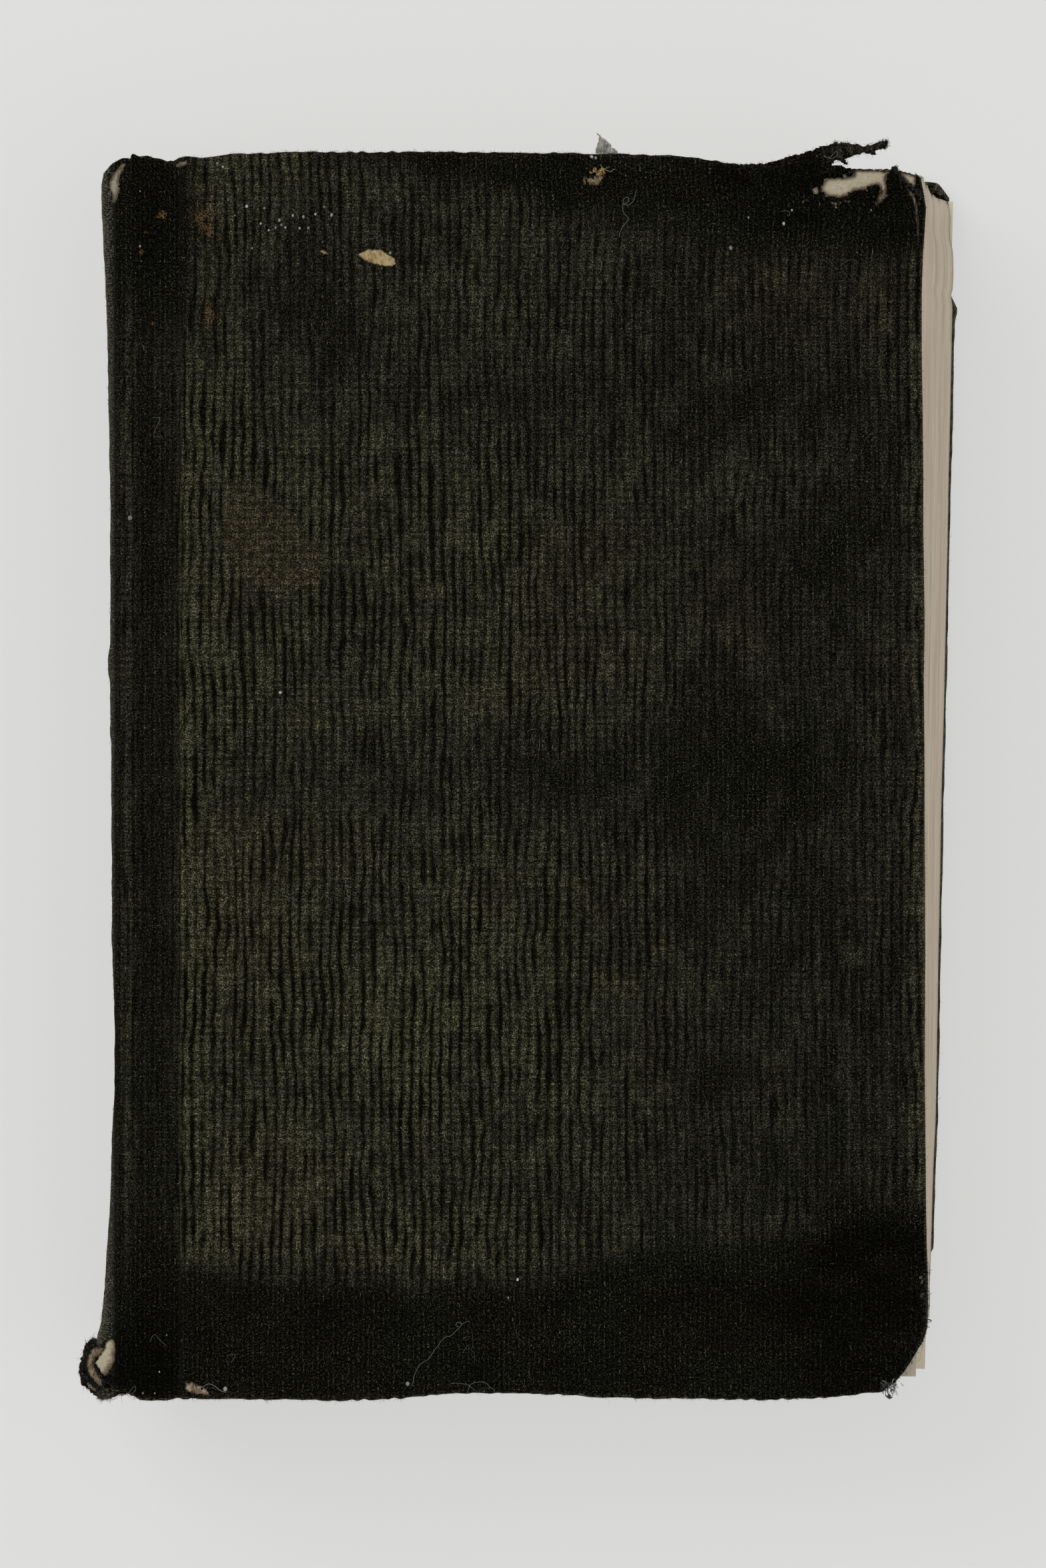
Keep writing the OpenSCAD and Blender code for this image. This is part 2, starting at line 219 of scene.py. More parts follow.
def nearest_on(points, outline):
    """Nearest point of a closed outline and signed distance to it, below zero inside."""
    a = outline[None, :, :]
    d = np.roll(outline, -1, axis=0)[None, :, :] - a
    p = points[:, None, :]
    t = np.clip(((p - a) * d).sum(-1) / np.maximum((d * d).sum(-1), 1e-12), 0, 1)
    near = a + t[..., None] * d
    gap = np.linalg.norm(near - p, axis=-1)
    best = gap.argmin(axis=1)
    rows = np.arange(len(points))
    crosses = (a[..., 1] > p[..., 1]) != (a[..., 1] + d[..., 1] > p[..., 1])
    rise = np.where(d[..., 1] == 0, 1e-12, d[..., 1])
    at_x = a[..., 0] + d[..., 0] * (p[..., 1] - a[..., 1]) / rise
    inside = ((crosses & (p[..., 0] < at_x)).sum(axis=1) % 2) == 1
    return near[rows, best], gap[rows, best] * np.where(inside, -1, 1)


def rim_of(faces, count):
    """Directed edges that only one face has."""
    edges = np.concatenate([faces[:, [i, (i + 1) % faces.shape[1]]] for i in range(faces.shape[1])])
    there = edges[:, 0] * count + edges[:, 1]
    back = edges[:, 1] * count + edges[:, 0]
    return edges[~np.isin(there, back)]


def grid_faces(rows, cols):
    r, c = np.meshgrid(np.arange(rows - 1), np.arange(cols - 1), indexing="ij")
    first = (r * cols + c).ravel()
    return np.stack([first, first + 1, first + cols + 1, first + cols], axis=1)


def compact(keep_faces, count):
    """Faces renumbered to the vertices that they use, and those vertices."""
    used = np.unique(keep_faces)
    new = np.zeros(count, int)
    new[used] = np.arange(len(used))
    return new[keep_faces], used


# Meshes


def build(name, verts_mm, faces, material, attributes=None, smooth_faces=True):
    """A mesh object from vertices in millimetres and a list of face arrays."""
    faces = [np.asarray(f) for f in (faces if isinstance(faces, list) else [faces]) if len(f)]
    mesh = bpy.data.meshes.new(name)
    mesh.vertices.add(len(verts_mm))
    mesh.vertices.foreach_set("co", (np.asarray(verts_mm) * MM).astype(np.float32).ravel())
    loops = np.concatenate([f.ravel() for f in faces])
    totals = np.concatenate([np.full(len(f), f.shape[1]) for f in faces])
    mesh.loops.add(len(loops))
    mesh.loops.foreach_set("vertex_index", loops.astype(np.int32))
    mesh.polygons.add(len(totals))
    starts = np.concatenate([[0], np.cumsum(totals)[:-1]])
    mesh.polygons.foreach_set("loop_start", starts.astype(np.int32))
    mesh.polygons.foreach_set("use_smooth", np.full(len(totals), smooth_faces))
    mesh.update(calc_edges=True)
    for key, values in (attributes or {}).items():
        values = np.asarray(values, np.float32)
        kind, field = ("FLOAT_VECTOR", "vector") if values.ndim == 2 else ("FLOAT", "value")
        mesh.attributes.new(key, kind, "POINT").data.foreach_set(field, values.ravel())
    mesh.materials.append(material)
    made = bpy.data.objects.new(name, mesh)
    bpy.context.scene.collection.objects.link(made)
    return made


def tree_of(obj):
    mesh = obj.data
    verts = [v.co / MM for v in mesh.vertices]
    return BVHTree.FromPolygons(verts, [tuple(p.vertices) for p in mesh.polygons])


def land(points_px, trees):
    """Where the camera's rays through pixels first meet the given surfaces, with the normals."""
    spots = []
    normals = []
    eye = Vector(CAMERA_AT)
    for px, py in points_px:
        x, y = from_pixel(px, py)
        ray = (Vector((x, y, TOP_Z)) - eye).normalized()
        hits = [t.ray_cast(eye, ray) for t in trees]
        hits = [h for h in hits if h[0] is not None]
        if hits:
            spot, normal, _, _ = min(hits, key=lambda h: h[3])
            normal = normal if normal.z > 0 else -normal
        else:
            spot = eye + ray * ((TOP_Z - eye.z) / ray.z)
            normal = Vector((0, 0, 1))
        spots.append(spot)
        normals.append(normal)
    return np.array(spots), np.array(normals)


# Materials


class Value:
    """A node's output that takes plain arithmetic."""

    def __init__(self, shader, socket):
        self.shader = shader
        self.socket = socket

    def __add__(self, other):
        return self.shader.math("ADD", self, other)

    def __sub__(self, other):
        return self.shader.math("SUBTRACT", self, other)

    def __rsub__(self, other):
        return self.shader.math("SUBTRACT", other, self)

    def __mul__(self, other):
        return self.shader.math("MULTIPLY", self, other)

    def __pow__(self, other):
        return self.shader.math("POWER", self, other)

    def __abs__(self):
        return self.shader.math("ABSOLUTE", self)


class Shader:
    """A material whose nodes are made by short calls. An input is a number, a tuple or a Value."""

    def __init__(self, name, roughness, specular=0.1, sheen=0.0, sheen_roughness=0.5):
        self.material = bpy.data.materials.new(name)
        self.material.use_nodes = True
        self.tree = self.material.node_tree
        self.surface = self.tree.nodes["Principled BSDF"]
        self.surface.inputs["Roughness"].default_value = roughness
        self.surface.inputs["Specular IOR Level"].default_value = specular
        self.surface.inputs["Sheen Weight"].default_value = sheen
        self.surface.inputs["Sheen Roughness"].default_value = sheen_roughness

    def plug(self, socket, value):
        if isinstance(value, Value):
            self.tree.links.new(value.socket, socket)
        else:
            socket.default_value = value

    def node(self, kind, inputs=None, output=0, **settings):
        """One output of a new node with the given settings and inputs."""
        made = self.tree.nodes.new("ShaderNode" + kind)
        for key, value in settings.items():
            setattr(made, key, value)
        for key, value in (inputs or {}).items():
            self.plug(made.inputs[key], value)
        return Value(self, made.outputs[output])

    def attribute(self, name, output="Vector"):
        return self.node("Attribute", output=output, attribute_name=name)

    def place(self):
        """The object's own coordinates in millimetres."""
        return self.scaled(self.node("TexCoord", output="Object"), (1 / MM, 1 / MM, 1 / MM))

    def scaled(self, vector, factors):
        return self.node("VectorMath", {0: vector, 1: factors}, operation="MULTIPLY")

    def split(self, vector):
        first = self.node("SeparateXYZ", {0: vector})
        return [Value(self, socket) for socket in first.socket.node.outputs]

    def math(self, operation, *values):
        return self.node("Math", dict(enumerate(values)), operation=operation)

    def cos(self, value):
        return self.math("COSINE", value)

    def noise(self, vector, scale, detail=2.0, roughness=0.5, stretch=None):
        vector = self.scaled(vector, stretch) if stretch else vector
        inputs = {"Vector": vector, "Scale": scale, "Detail": detail, "Roughness": roughness}
        return self.node("TexNoise", inputs, "Fac")

    def between(self, value, low, high, to_low=0.0, to_high=1.0):
        """A smooth step from to_low at low to to_high at high."""
        inputs = dict(enumerate((value, low, high, to_low, to_high)))
        return self.node("MapRange", inputs, interpolation_type="SMOOTHSTEP")

    def mix(self, share, a, b):
        a, b = ((*colour, 1) if isinstance(colour, tuple) else colour for colour in (a, b))
        return self.node("Mix", {0: share, 6: a, 7: b}, 2, data_type="RGBA", blend_type="MIX")

    def grey(self, value, tint):
        """A tint made brighter or darker by a value."""
        return self.node("VectorMath", {0: tint, "Scale": value}, operation="SCALE")

    def finish(self, colour, height=None, depth_mm=0.05):
        """Sets the base colour, and a bump whose height runs from 0 to 1 over depth_mm."""
        self.plug(self.surface.inputs["Base Color"], colour)
        if height is not None:
            bump = self.node("Bump", {"Distance": depth_mm * MM, "Height": height})
            self.plug(self.surface.inputs["Normal"], bump)
        return self.material


WARP_PITCH = 0.662
WEFT_PITCH = 0.91


def cloth_material():
    """Book cloth: a dark plain weave where it kept its dye, with painted highlights on its threads, pale fluffy
    ribs where it faded, with painted shade in their furrows and painted glints on both, and pale dust on worn
    edges and on the side of the spine, where the dust also stands for painted sheen."""
    s = Shader("book_cloth", 0.95, specular=0.0, sheen=0.015, sheen_roughness=0.3)
    place = s.attribute("cloth")
    across, along, _ = s.split(place)
    fade, rib, brown = s.split(s.attribute("look"))
    dust_and_sheen = s.attribute("dust_and_sheen", "Fac")
    ribbed = s.math("MAXIMUM", (fade - 0.2) * 1.25, 0.0)
    kept = s.math("MINIMUM", fade * 3.6 + 0.38, 1.05)

    # Threads of the weave, which sway and wander
    sway = (s.noise(place, 0.5, 1) - 0.5) * 1.6
    stray = (s.noise(place, 1.7, 2) - 0.5) * 2.2
    warp = across * (math.pi / WARP_PITCH) + (sway + stray * 0.55)
    weft = along * (math.pi / WEFT_PITCH) + stray
    knit = s.cos(warp) * s.cos(weft)
    line = s.between(abs(s.cos(warp)), 0.80, 1.0)
    broken = s.between(s.noise(place, 1.0, 2, 0.65, (2.4, 2.1, 1.0)), 0.43, 0.66, 0.02, 1.7)
    faint = s.between(s.noise(place, 1.0, 2, 0.5, (1.5, 0.22, 1.0)), 0.36, 0.62, 0.25, 1.15)
    # Where the threads pass over, their crowns get painted highlights: long dashes on the warp and short
    # crosses on the weft
    over = s.between(knit, -0.5, 0.5, 0.4, 1.0)
    dash_highlight = (line * faint) * (broken * over)
    cross = s.between(knit, -0.45, -0.95) * s.between(s.noise(place, 1.0, 2), 0.45, 0.65)

    # Grains of fluff and specks, and painted glints: highlights on the tips of fibres
    granule = s.noise(place, 4.3, 3, 0.78)
    clump = s.noise(place, 1.15, 1, 0.5)
    fluff = s.between(granule, 0.36, 0.66)
    grain = s.between(s.noise(place, 8.5, 2, 0.75, (1.0, 0.8, 1.0)), 0.40, 0.63, 0.0, 2.25)
    painted_glint = s.between(s.noise(place, 3.4, 3, 0.8), 0.64, 0.70)
    speckle = s.between(s.noise(place, 6.0, 3, 0.8, (1.0, 0.7, 1.0)), 0.50, 0.71, 0.20, 5.0)

    # Brightness of the dark weave and of the pale ribs, with their painted highlights, glints and shade
    threads = dash_highlight * 0.025 + (cross * 0.008 + s.between(granule, 0.44, 0.66) * 0.024)
    dark = (threads * speckle) * kept + ((painted_glint * kept) * 0.16 + 0.0007)
    # The ribs are lighter on their crests and darker in the furrows between them: painted shade, and partly
    # dirt in the furrows
    furrow_shade = s.between(rib, 0.15, 0.43, 0.13, 1.0)
    crest = (rib * 0.081 + 0.0155) * furrow_shade
    nub_wave = s.cos(weft * 2.0) * 0.8 + (clump - 0.5) * 9.5
    nub = s.between(nub_wave, -1.6, 1.6, 0.50, 1.36) * s.between(line, 0.0, 1.0, 0.85, 1.08)
    pale = (crest * nub) * (fluff**1.6 * 2.0 + 0.06)
    pale = pale * (grain * 0.96 + 0.04) + (painted_glint * 0.06 + 0.0006)
    strength = dark * (1.0 - ribbed) + pale * ribbed

    # Tints, from neutral to brown, and old glue where it is brownest
    tint = s.mix(ribbed, (1.02, 0.985, 0.70), (1.015, 1.0, 0.55))
    tint = s.mix(brown, tint, (1.26, 0.93, 0.54))
    glue = s.between(brown, 0.60, 0.95) * s.between(granule, 0.45, 0.60)
    colour = s.mix(glue, s.grey(strength, tint), (0.155, 0.100, 0.042))

    # Dust on top, which on the side of the spine also stands for painted sheen
    strand = s.noise(place, 1.0, 3, 0.65, (3.0, 0.35, 1.0))
    fuzz = s.noise(place, 3.4, 3, 0.8, (0.30, 1.5, 1.0))
    speck = fuzz * 0.7 + strand * 0.3
    shown = s.between(speck + dust_and_sheen * 0.17, 0.54, 0.66) * s.between(dust_and_sheen, 0.0, 0.30)
    dust_and_sheen_colour = s.mix(s.between(fuzz, 0.42, 0.66), (0.016, 0.0155, 0.010), (0.120, 0.113, 0.082))
    dust_and_sheen_colour = s.mix(s.between(dust_and_sheen, 0.60, 0.95) * 0.5, dust_and_sheen_colour, (0.135, 0.128, 0.097))
    return s.finish(s.mix(shown, colour, dust_and_sheen_colour), abs(knit) * 0.5 + fluff * 0.35, 0.09)


def hair_material():
    """Loose fibres and flakes, each with its own tone from black to nearly white."""
    s = Shader("cloth_fibre", 0.8)
    tone = s.attribute("tone", "Fac")
    colour = s.mix(tone**2.2, (0.0015, 0.0015, 0.001), (0.66, 0.66, 0.62))
    return s.finish(colour, s.noise(s.place(), 8.0, 1), 0.02)


def stain_material():
    """Old glue and rust that soaked into the cloth."""
    s = Shader("stain", 0.9)
    spots = s.noise(s.place(), 3.4, 3, 0.75)
    colour = s.mix(s.between(spots, 0.40, 0.66), (0.02, 0.013, 0.006), (0.36, 0.235, 0.085))
    return s.finish(colour, spots, 0.08)


def bare_board_material(name, share):
    """Torn greyboard: pale felted fibres, brown and grimy towards the cloth."""
    s = Shader(name, 0.95)
    place = s.place()
    fibres = s.noise(place, 3.0, 5, 0.7, (1.0, 2.5, 1.0))
    blot = s.noise(place, 0.55, 3)
    pale = s.mix(s.between(fibres, 0.3, 0.7), (0.315, 0.268, 0.185), (0.500, 0.445, 0.335))
    worn = s.mix(s.between(blot, 0.35, 0.65), pale, (0.40, 0.345, 0.25))
    grime = s.between(s.attribute("rim", "Fac") + (fibres - 0.5) * 0.9, 0.62, 0.08)
    colour = s.mix(grime * 0.85, worn, (0.070, 0.042, 0.020))
    return s.finish(s.grey(share, colour), fibres, 0.10)


def worn_thread_material():
    """Threads and paste laid bare: tan and brown, rough and streaky."""
    s = Shader("worn_thread", 0.95)
    place = s.place()
    streak = s.noise(place, 2.0, 4, 0.7, (3.0, 0.8, 1.0))
    patch = s.noise(place, 0.9, 2)
    colour = s.mix(s.between(streak, 0.35, 0.65), (0.050, 0.029, 0.015), (0.215, 0.160, 0.103))
    colour = s.mix(s.between(patch, 0.52, 0.7), colour, (0.30, 0.245, 0.175))
    rim = s.attribute("rim", "Fac") + (streak - 0.5) * 0.8
    return s.finish(s.mix(s.between(rim, 0.0, 0.42), (0.008, 0.006, 0.004), colour), streak, 0.08)


def dried_paste_material():
    """Flakes of dried paste: yellow-tan, ribbed by the cloth under them, with a dark rim."""
    s = Shader("dried_paste", 0.8)
    place = s.place()
    ridge = s.noise(place, 1.6, 3, 0.65, (1.4, 0.6, 1.0))
    grit = s.noise(place, 5.0, 3, 0.7)
    colour = s.mix(s.between(ridge, 0.35, 0.62), (0.17, 0.118, 0.055), (0.38, 0.285, 0.150))
    colour = s.mix(s.between(grit, 0.52, 0.66) * 0.5, colour, (0.13, 0.09, 0.05))
    rim = s.attribute("rim", "Fac") + (grit - 0.5) * 0.5
    return s.finish(s.mix(s.between(rim, 0.0, 0.2), (0.03, 0.02, 0.01), colour), ridge, 0.08)


def wisp_material():
    """A thin rag of grey lining."""
    s = Shader("lining_wisp", 0.9)
    place = s.place()
    fibres = s.noise(place, 2.2, 4, 0.7, (2.0, 0.7, 1.0))
    blot = s.noise(place, 0.8, 2)
    colour = s.mix(s.between(fibres, 0.35, 0.65), (0.12, 0.115, 0.095), (0.38, 0.37, 0.32))
    colour = s.mix(s.between(blot, 0.56, 0.66), colour, (0.04, 0.04, 0.035))
    return s.finish(colour, fibres, 0.06)


def paper_material(name, colour, spots):
    """Old paper: uneven tone, soft fibres and brown spots of age."""
    s = Shader(name, 0.85, specular=0.15)
    place = s.place()
    cloud = s.noise(place, 0.035, 4, 0.6)
    fibre = s.noise(place, 4.0, 3, 0.6, (1.0, 2.2, 1.0))
    foxing = s.noise(place, 0.30, 3, 0.65)
    freckle = s.noise(place, 1.4, 2, 0.6)
    tone = s.mix(s.between(cloud, 0.3, 0.7), tuple(0.86 * c for c in colour), colour)
    tone = s.mix(s.between(fibre, 0.4, 0.8) * 0.25, tone, tuple(0.7 * c for c in colour))
    tone = s.mix(s.between(foxing, 0.62, 0.78) * spots, tone, (0.30, 0.17, 0.075))
    tone = s.mix(s.between(freckle, 0.70, 0.80) * (0.6 * spots), tone, (0.22, 0.12, 0.05))
    return s.finish(tone, fibre, 0.02)


def page_edge_material():
    """Cut edges of the pages: fine lines, one a leaf, toned by dust and handling, with one pale leaf
    and a brown shade beside it towards the head."""
    s = Shader("page_edges", 0.85, specular=0.15)
    place = s.attribute("leaf")
    height, along, _ = s.split(place)
    line = s.noise(place, 1.0, 3, 0.6, (9.0, 0.05, 0.05))
    band = s.noise(place, 1.0, 2, 0.5, (1.6, 0.012, 0.012))
    cloud = s.noise(place, 1.0, 3, 0.6, (0.25, 0.06, 0.06))
    nick = s.noise(place, 1.0, 2, 0.6, (5.0, 0.8, 0.8))
    tone = s.mix(s.between(line, 0.32, 0.66), (0.47, 0.395, 0.305), (0.61, 0.525, 0.42))
    tone = s.mix(s.between(band, 0.50, 0.72) * 0.45, tone, (0.50, 0.365, 0.275))
    tone = s.mix(s.between(cloud, 0.45, 0.75) * 0.45, tone, (0.545, 0.425, 0.35))
    tone = s.mix(s.between(nick, 0.70, 0.82) * 0.5, tone, (0.20, 0.15, 0.10))
    leaf = s.between(abs(height - 1.6), 0.20, 0.06)
    shade = s.between(abs(height - 2.1), 0.34, 0.10) * s.between(along, 36.0, 46.0)
    tone = s.mix(shade * 0.45, tone, (0.36, 0.26, 0.16))
    tone = s.mix(leaf * 0.55, tone, (0.70, 0.61, 0.49))
    return s.finish(tone, line, 0.05)


def card_material(name, dark, pale, scale):
    """Coarse grey or brown card with fibres and specks."""
    s = Shader(name, 0.95)
    place = s.place()
    fibres = s.noise(place, scale, 5, 0.7, (1.0, 2.5, 1.0))
    specks = s.noise(place, 2.4 * scale, 2, 0.6)
    colour = s.mix(s.between(fibres, 0.3, 0.7), dark, pale)
    colour = s.mix(s.between(specks, 0.64, 0.74) * 0.7, colour, tuple(0.4 * c for c in dark))
    return s.finish(colour, fibres, 0.08)


def gauze_material():
    """Open gauze soaked with glue."""
    s = Shader("glued_gauze", 0.7, specular=0.3)
    place = s.place()
    _, along, up = s.split(place)
    mesh = s.math("MAXIMUM", s.cos(along * 5.2), s.cos(up * 5.2))
    glue = s.noise(place, 0.4, 3, 0.6)
    colour = s.mix(s.between(mesh, 0.2, 0.9), (0.20, 0.14, 0.07), (0.52, 0.47, 0.37))
    colour = s.mix(s.between(glue, 0.4, 0.65) * 0.6, colour, (0.30, 0.19, 0.08))
    return s.finish(colour, mesh, 0.1)


def table_material():
    """Smooth pale panel under the book. Most of its brightness is its own, which keeps the shade soft."""
    s = Shader("table", 0.8, specular=0.0)
    cloud = s.noise(s.place(), 0.004, 2)
    s.plug(s.surface.inputs["Emission Color"], (1.0, 1.0, 0.985, 1))
    s.surface.inputs["Emission Strength"].default_value = 0.525
    return s.finish(s.mix(cloud, (0.195, 0.195, 0.192), (0.205, 0.205, 0.203)))


cloth = cloth_material()
fibre = hair_material()
stain = stain_material()
bare_board = bare_board_material("bare_board", 1.0)
frayed_board = bare_board_material("frayed_board", 0.68)
worn_thread = worn_thread_material()
dried_paste = dried_paste_material()
lining_wisp = wisp_material()
page_edges = page_edge_material()
end_paper = paper_material("end_paper", (0.60, 0.53, 0.42), 0.8)
lining_paper = paper_material("spine_lining_paper", (0.46, 0.40, 0.31), 0.4)
grey_board = card_material("grey_board", (0.24, 0.21, 0.155), (0.37, 0.33, 0.255), 2.2)
spine_card = card_material("spine_card", (0.20, 0.155, 0.10), (0.33, 0.275, 0.195), 2.6)
gauze = gauze_material()

# Cloth of the case, one half for each cover: from the middle of the spine over the ridge and the
# groove, across the board and round its edges

COL_STEP_SPINE = 0.36
COL_STEP_BOARD = {1: 0.262, -1: 0.37}
EDGE_ROWS = [0, 0.12, 0.35, 0.7, 1.2, 1.9, 2.7]
MIDDLE_ROWS = 188
BOARD_ROUND = 0.9
RIB_PITCH = 1.3
RINGS = [(0, 1.25), (0, 1.75), (0.05, 2.15), (0.3, 2.5), (0.8, 2.72), (3.4, 2.71), (8, 2.56), (13, 2.35)]
SPINE_TURN = 2.5
RIB_LIFT = 0.12
MOST_LIFT = 0.06

# Tears: pixels over which the cloth snaps to an outline, and how far its rim curls up and reaches down
SNAP_PX = 3.2
CURL_H = 0.28
RIM_D = 0.45


def catmull_rom(knots, per_span):
    knots = np.array(knots, float)
    ends = np.vstack([2 * knots[0] - knots[1], knots, 2 * knots[-1] - knots[-2]])
    made = []
    for i in range(len(knots) - 1):
        a, b, c, d = ends[i:i + 4]
        for t in np.arange(per_span) / per_span:
            made.append(0.5 * (2 * b + (c - a) * t + (2 * a - 5 * b + 4 * c - d) * t**2
                               + (3 * b - a - 3 * c + d) * t**3))
    return np.vstack([made, knots[-1:]])


def evenly(points, step):
    """A polyline's points moved to even steps along it."""
    run = np.concatenate([[0], np.cumsum(np.linalg.norm(np.diff(points, axis=0), axis=1))])
    at = np.linspace(0, run[-1], max(2, int(round(run[-1] / step)) + 1))
    return np.stack([np.interp(at, run, points[:, i]) for i in range(points.shape[1])], axis=1)


def side_point(u):
    return [SPINE_X - ROUND_D * (1 - u * u), SIDE_Z * u]


def half_profile(side):
    """Columns across half of the case: x, h and the unit vector out of the cloth."""
    shoulder = 1.0
    knots = [side_point(u) for u in (0, 0.3, 0.6, 0.86)] + [
        [SPINE_X + 0.2 * RIDGE_R, RIDGE_Z - 0.55 * RIDGE_R],
        [WALL_X - 0.45 * RIDGE_W, RIDGE_Z],
        [WALL_X, RIDGE_Z - 0.45 * GROOVE_D],
        [EDGE_X - GROOVE_W / 2, RIDGE_Z - GROOVE_D],
        [EDGE_X - 0.5, RIDGE_Z - 0.70 * GROOVE_D],
        [EDGE_X - 0.05, MID_Z - 0.70],
        [EDGE_X + 0.35, MID_Z - 0.13],
        [EDGE_X + shoulder, MID_Z],
    ]
    bent = evenly(catmull_rom(knots, 12), COL_STEP_SPINE)
    flat_x = np.arange(EDGE_X + shoulder + COL_STEP_BOARD[side], FORE_X, COL_STEP_BOARD[side])
    flat_x = np.append(flat_x[:-1], FORE_X)
    flat = np.stack([flat_x, np.full(len(flat_x), MID_Z)], axis=1)
    line = np.vstack([bent, flat])
    along = np.gradient(line, axis=0)
    along /= np.linalg.norm(along, axis=1)[:, None]
    out = np.stack([-along[:, 1], along[:, 0]], axis=1)
    run = np.concatenate([[0], np.cumsum(np.linalg.norm(np.diff(line, axis=0), axis=1))])
    return line, out, run


# Outline of the front cover and its spine in the photograph, as pixels
HEAD_EDGE = np.array([
    (173, 238), (184, 235), (195, 236.5), (197, 231), (201, 229), (209, 232.5), (223, 231), (232, 234),
    (243, 235.5), (248, 238.5), (254, 237.5), (258.5, 240), (263, 235.5), (268, 233.5), (303, 234),
    (350, 229), (450, 227), (620, 226), (820, 228), (930, 229), (1000, 232), (1035, 235), (1075, 240),
    (1100, 244), (1130, 246.5), (1262, 247.5), (1340, 249), (1364, 254), (1376, 258), (1386, 273)])
TAIL_EDGE = np.array([
    (173, 2088), (190, 2088), (204, 2095), (210, 2100.5), (222, 2101.5), (247, 2101.5), (261, 2099),
    (292, 2097), (355, 2098), (500, 2101), (600, 2097), (650, 2092), (700, 2089), (800, 2090), (900, 2095),
    (1000, 2098), (1150, 2099), (1220, 2097), (1260, 2095), (1290, 2090), (1325, 2087), (1342, 2074),
    (1358, 2055), (1372, 2032), (1384, 2011), (1391, 1991)])
FORE_EDGE = np.array([
    (1380, 260), (1385, 285), (1389, 311), (1387, 345), (1384.5, 380), (1382.5, 436), (1382.5, 530),
    (1384, 617), (1385, 717), (1385, 792), (1386.5, 899), (1387, 949), (1385.5, 1011), (1386.5, 1105),
    (1387, 1250), (1388, 1430), (1387, 1600), (1388.5, 1742), (1389, 1805), (1390, 1867), (1391.5, 1899),
    (1392, 1961), (1391, 1993)])
SPINE_EDGE = np.array([
    (157, 251), (152.5, 266), (151, 285), (152, 330), (156, 400), (160, 500), (162, 600), (164.5, 750),
    (165, 960), (161, 985), (162, 1000), (165, 1014), (165, 1086), (163.5, 1090), (166, 1100), (167, 1400),
    (171, 1500), (174, 1540), (172, 1600), (167, 1700), (164, 1800), (160, 1850), (157, 1900), (153, 1945),
    (150, 1976), (145.5, 1988), (143.5, 2005), (140, 2030), (143, 2060), (150, 2085)])

# What shows past it at the right: the fore-edge of the pages and the edge of the back cover, as pixels
PAGE_EDGE = np.array([
    (1421, 300), (1425, 324), (1423.5, 355), (1428.7, 377), (1429.4, 411), (1428, 436), (1425, 444),
    (1428, 458), (1427.3, 480), (1425, 605), (1422, 730), (1419.8, 855), (1417, 980), (1414.2, 1105),
    (1411.6, 1180), (1409.6, 1305), (1407, 1430), (1405, 1555), (1402.8, 1680), (1399.6, 1742),
    (1397.6, 1805), (1396, 1867), (1392.5, 1960), (1391, 2068)])
BACK_EDGE = np.array([
    (1422, 290), (1424, 440), (1428, 453), (1434, 459), (1433.5, 476), (1430, 483), (1428.3, 605),
    (1425, 730), (1422.3, 855), (1419.6, 980), (1416.4, 1105), (1414.4, 1180), (1412.2, 1305),
    (1409.8, 1430), (1407.8, 1555), (1405.4, 1680), (1402.4, 1742), (1400.6, 1805), (1399.2, 1870),
    (1394, 1878), (1388, 2100)])

# Patches of the front cover that faded more or less than the rest, as pixels: the middle, the half
# width and half height, the change in fading and how brown it is. The two narrow patches at px 281,
# along the board's edge beside the groove, are a painted highlight on that edge.
PATCHES = [
    (470, 520, 190, 130, -0.20, 0.1), (460, 380, 210, 150, -0.11, 0.1), (800, 450, 620, 190, -0.05, 0.1),
    (745, 810, 60, 62, 0.20, 0.0), (1073, 735, 170, 72, 0.14, 0.0), (1120, 935, 95, 95, 0.11, 0.32),
    (910, 985, 95, 60, 0.06, 0.32), (734, 1050, 40, 30, 0.13, 0.32), (1140, 1185, 150, 85, -0.05, 0.1),
    (296, 400, 42, 190, -0.18, 0.3), (1000, 600, 300, 180, -0.04, 0.1), (800, 1160, 560, 110, -0.17, 0.0),
    (800, 610, 560, 90, -0.07, 0.0), (760, 350, 520, 60, -0.06, 0.0), (560, 470, 330, 200, -0.05, 0.0),
    (545, 1150, 130, 85, -0.11, 0.0), (818, 1155, 95, 62, -0.14, 0.0), (359, 1340, 75, 150, 0.03, 0.35),
    (690, 1530, 230, 200, 0.16, 0.0), (985, 1415, 34, 28, 0.28, 0.4), (922, 1477, 34, 28, 0.22, 0.4),
    (420, 1790, 150, 120, 0.10, 0.36), (690, 1850, 200, 75, 0.17, 0.1), (1068, 1590, 60, 125, -0.12, 0.0),
    (1255, 790, 75, 100, -0.12, 0.0), (1100, 590, 70, 40, -0.10, 0.2), (281, 1110, 24, 170, 0.22, 0.1),
    (281, 1480, 24, 380, 0.14, 0.1), (1149, 1846, 95, 50, 0.16, 0.0), (1310, 1600, 105, 280, -0.05, 0.1),
    (298, 318, 20, 32, 0.0, 1.0), (312, 345, 14, 12, 0.1, 1.0), (304, 462, 15, 22, 0.05, 1.0),
    (1330, 430, 75, 120, 0.12, 0.3), (1180, 460, 120, 90, 0.04, 0.35), (1150, 410, 130, 40, 0.08, 0.3),
    (245, 1100, 30, 500, 0.03, 0.2), (1381, 276, 7, 24, 0.9, 0.1), (1384, 345, 6, 30, 0.3, 0.3)]
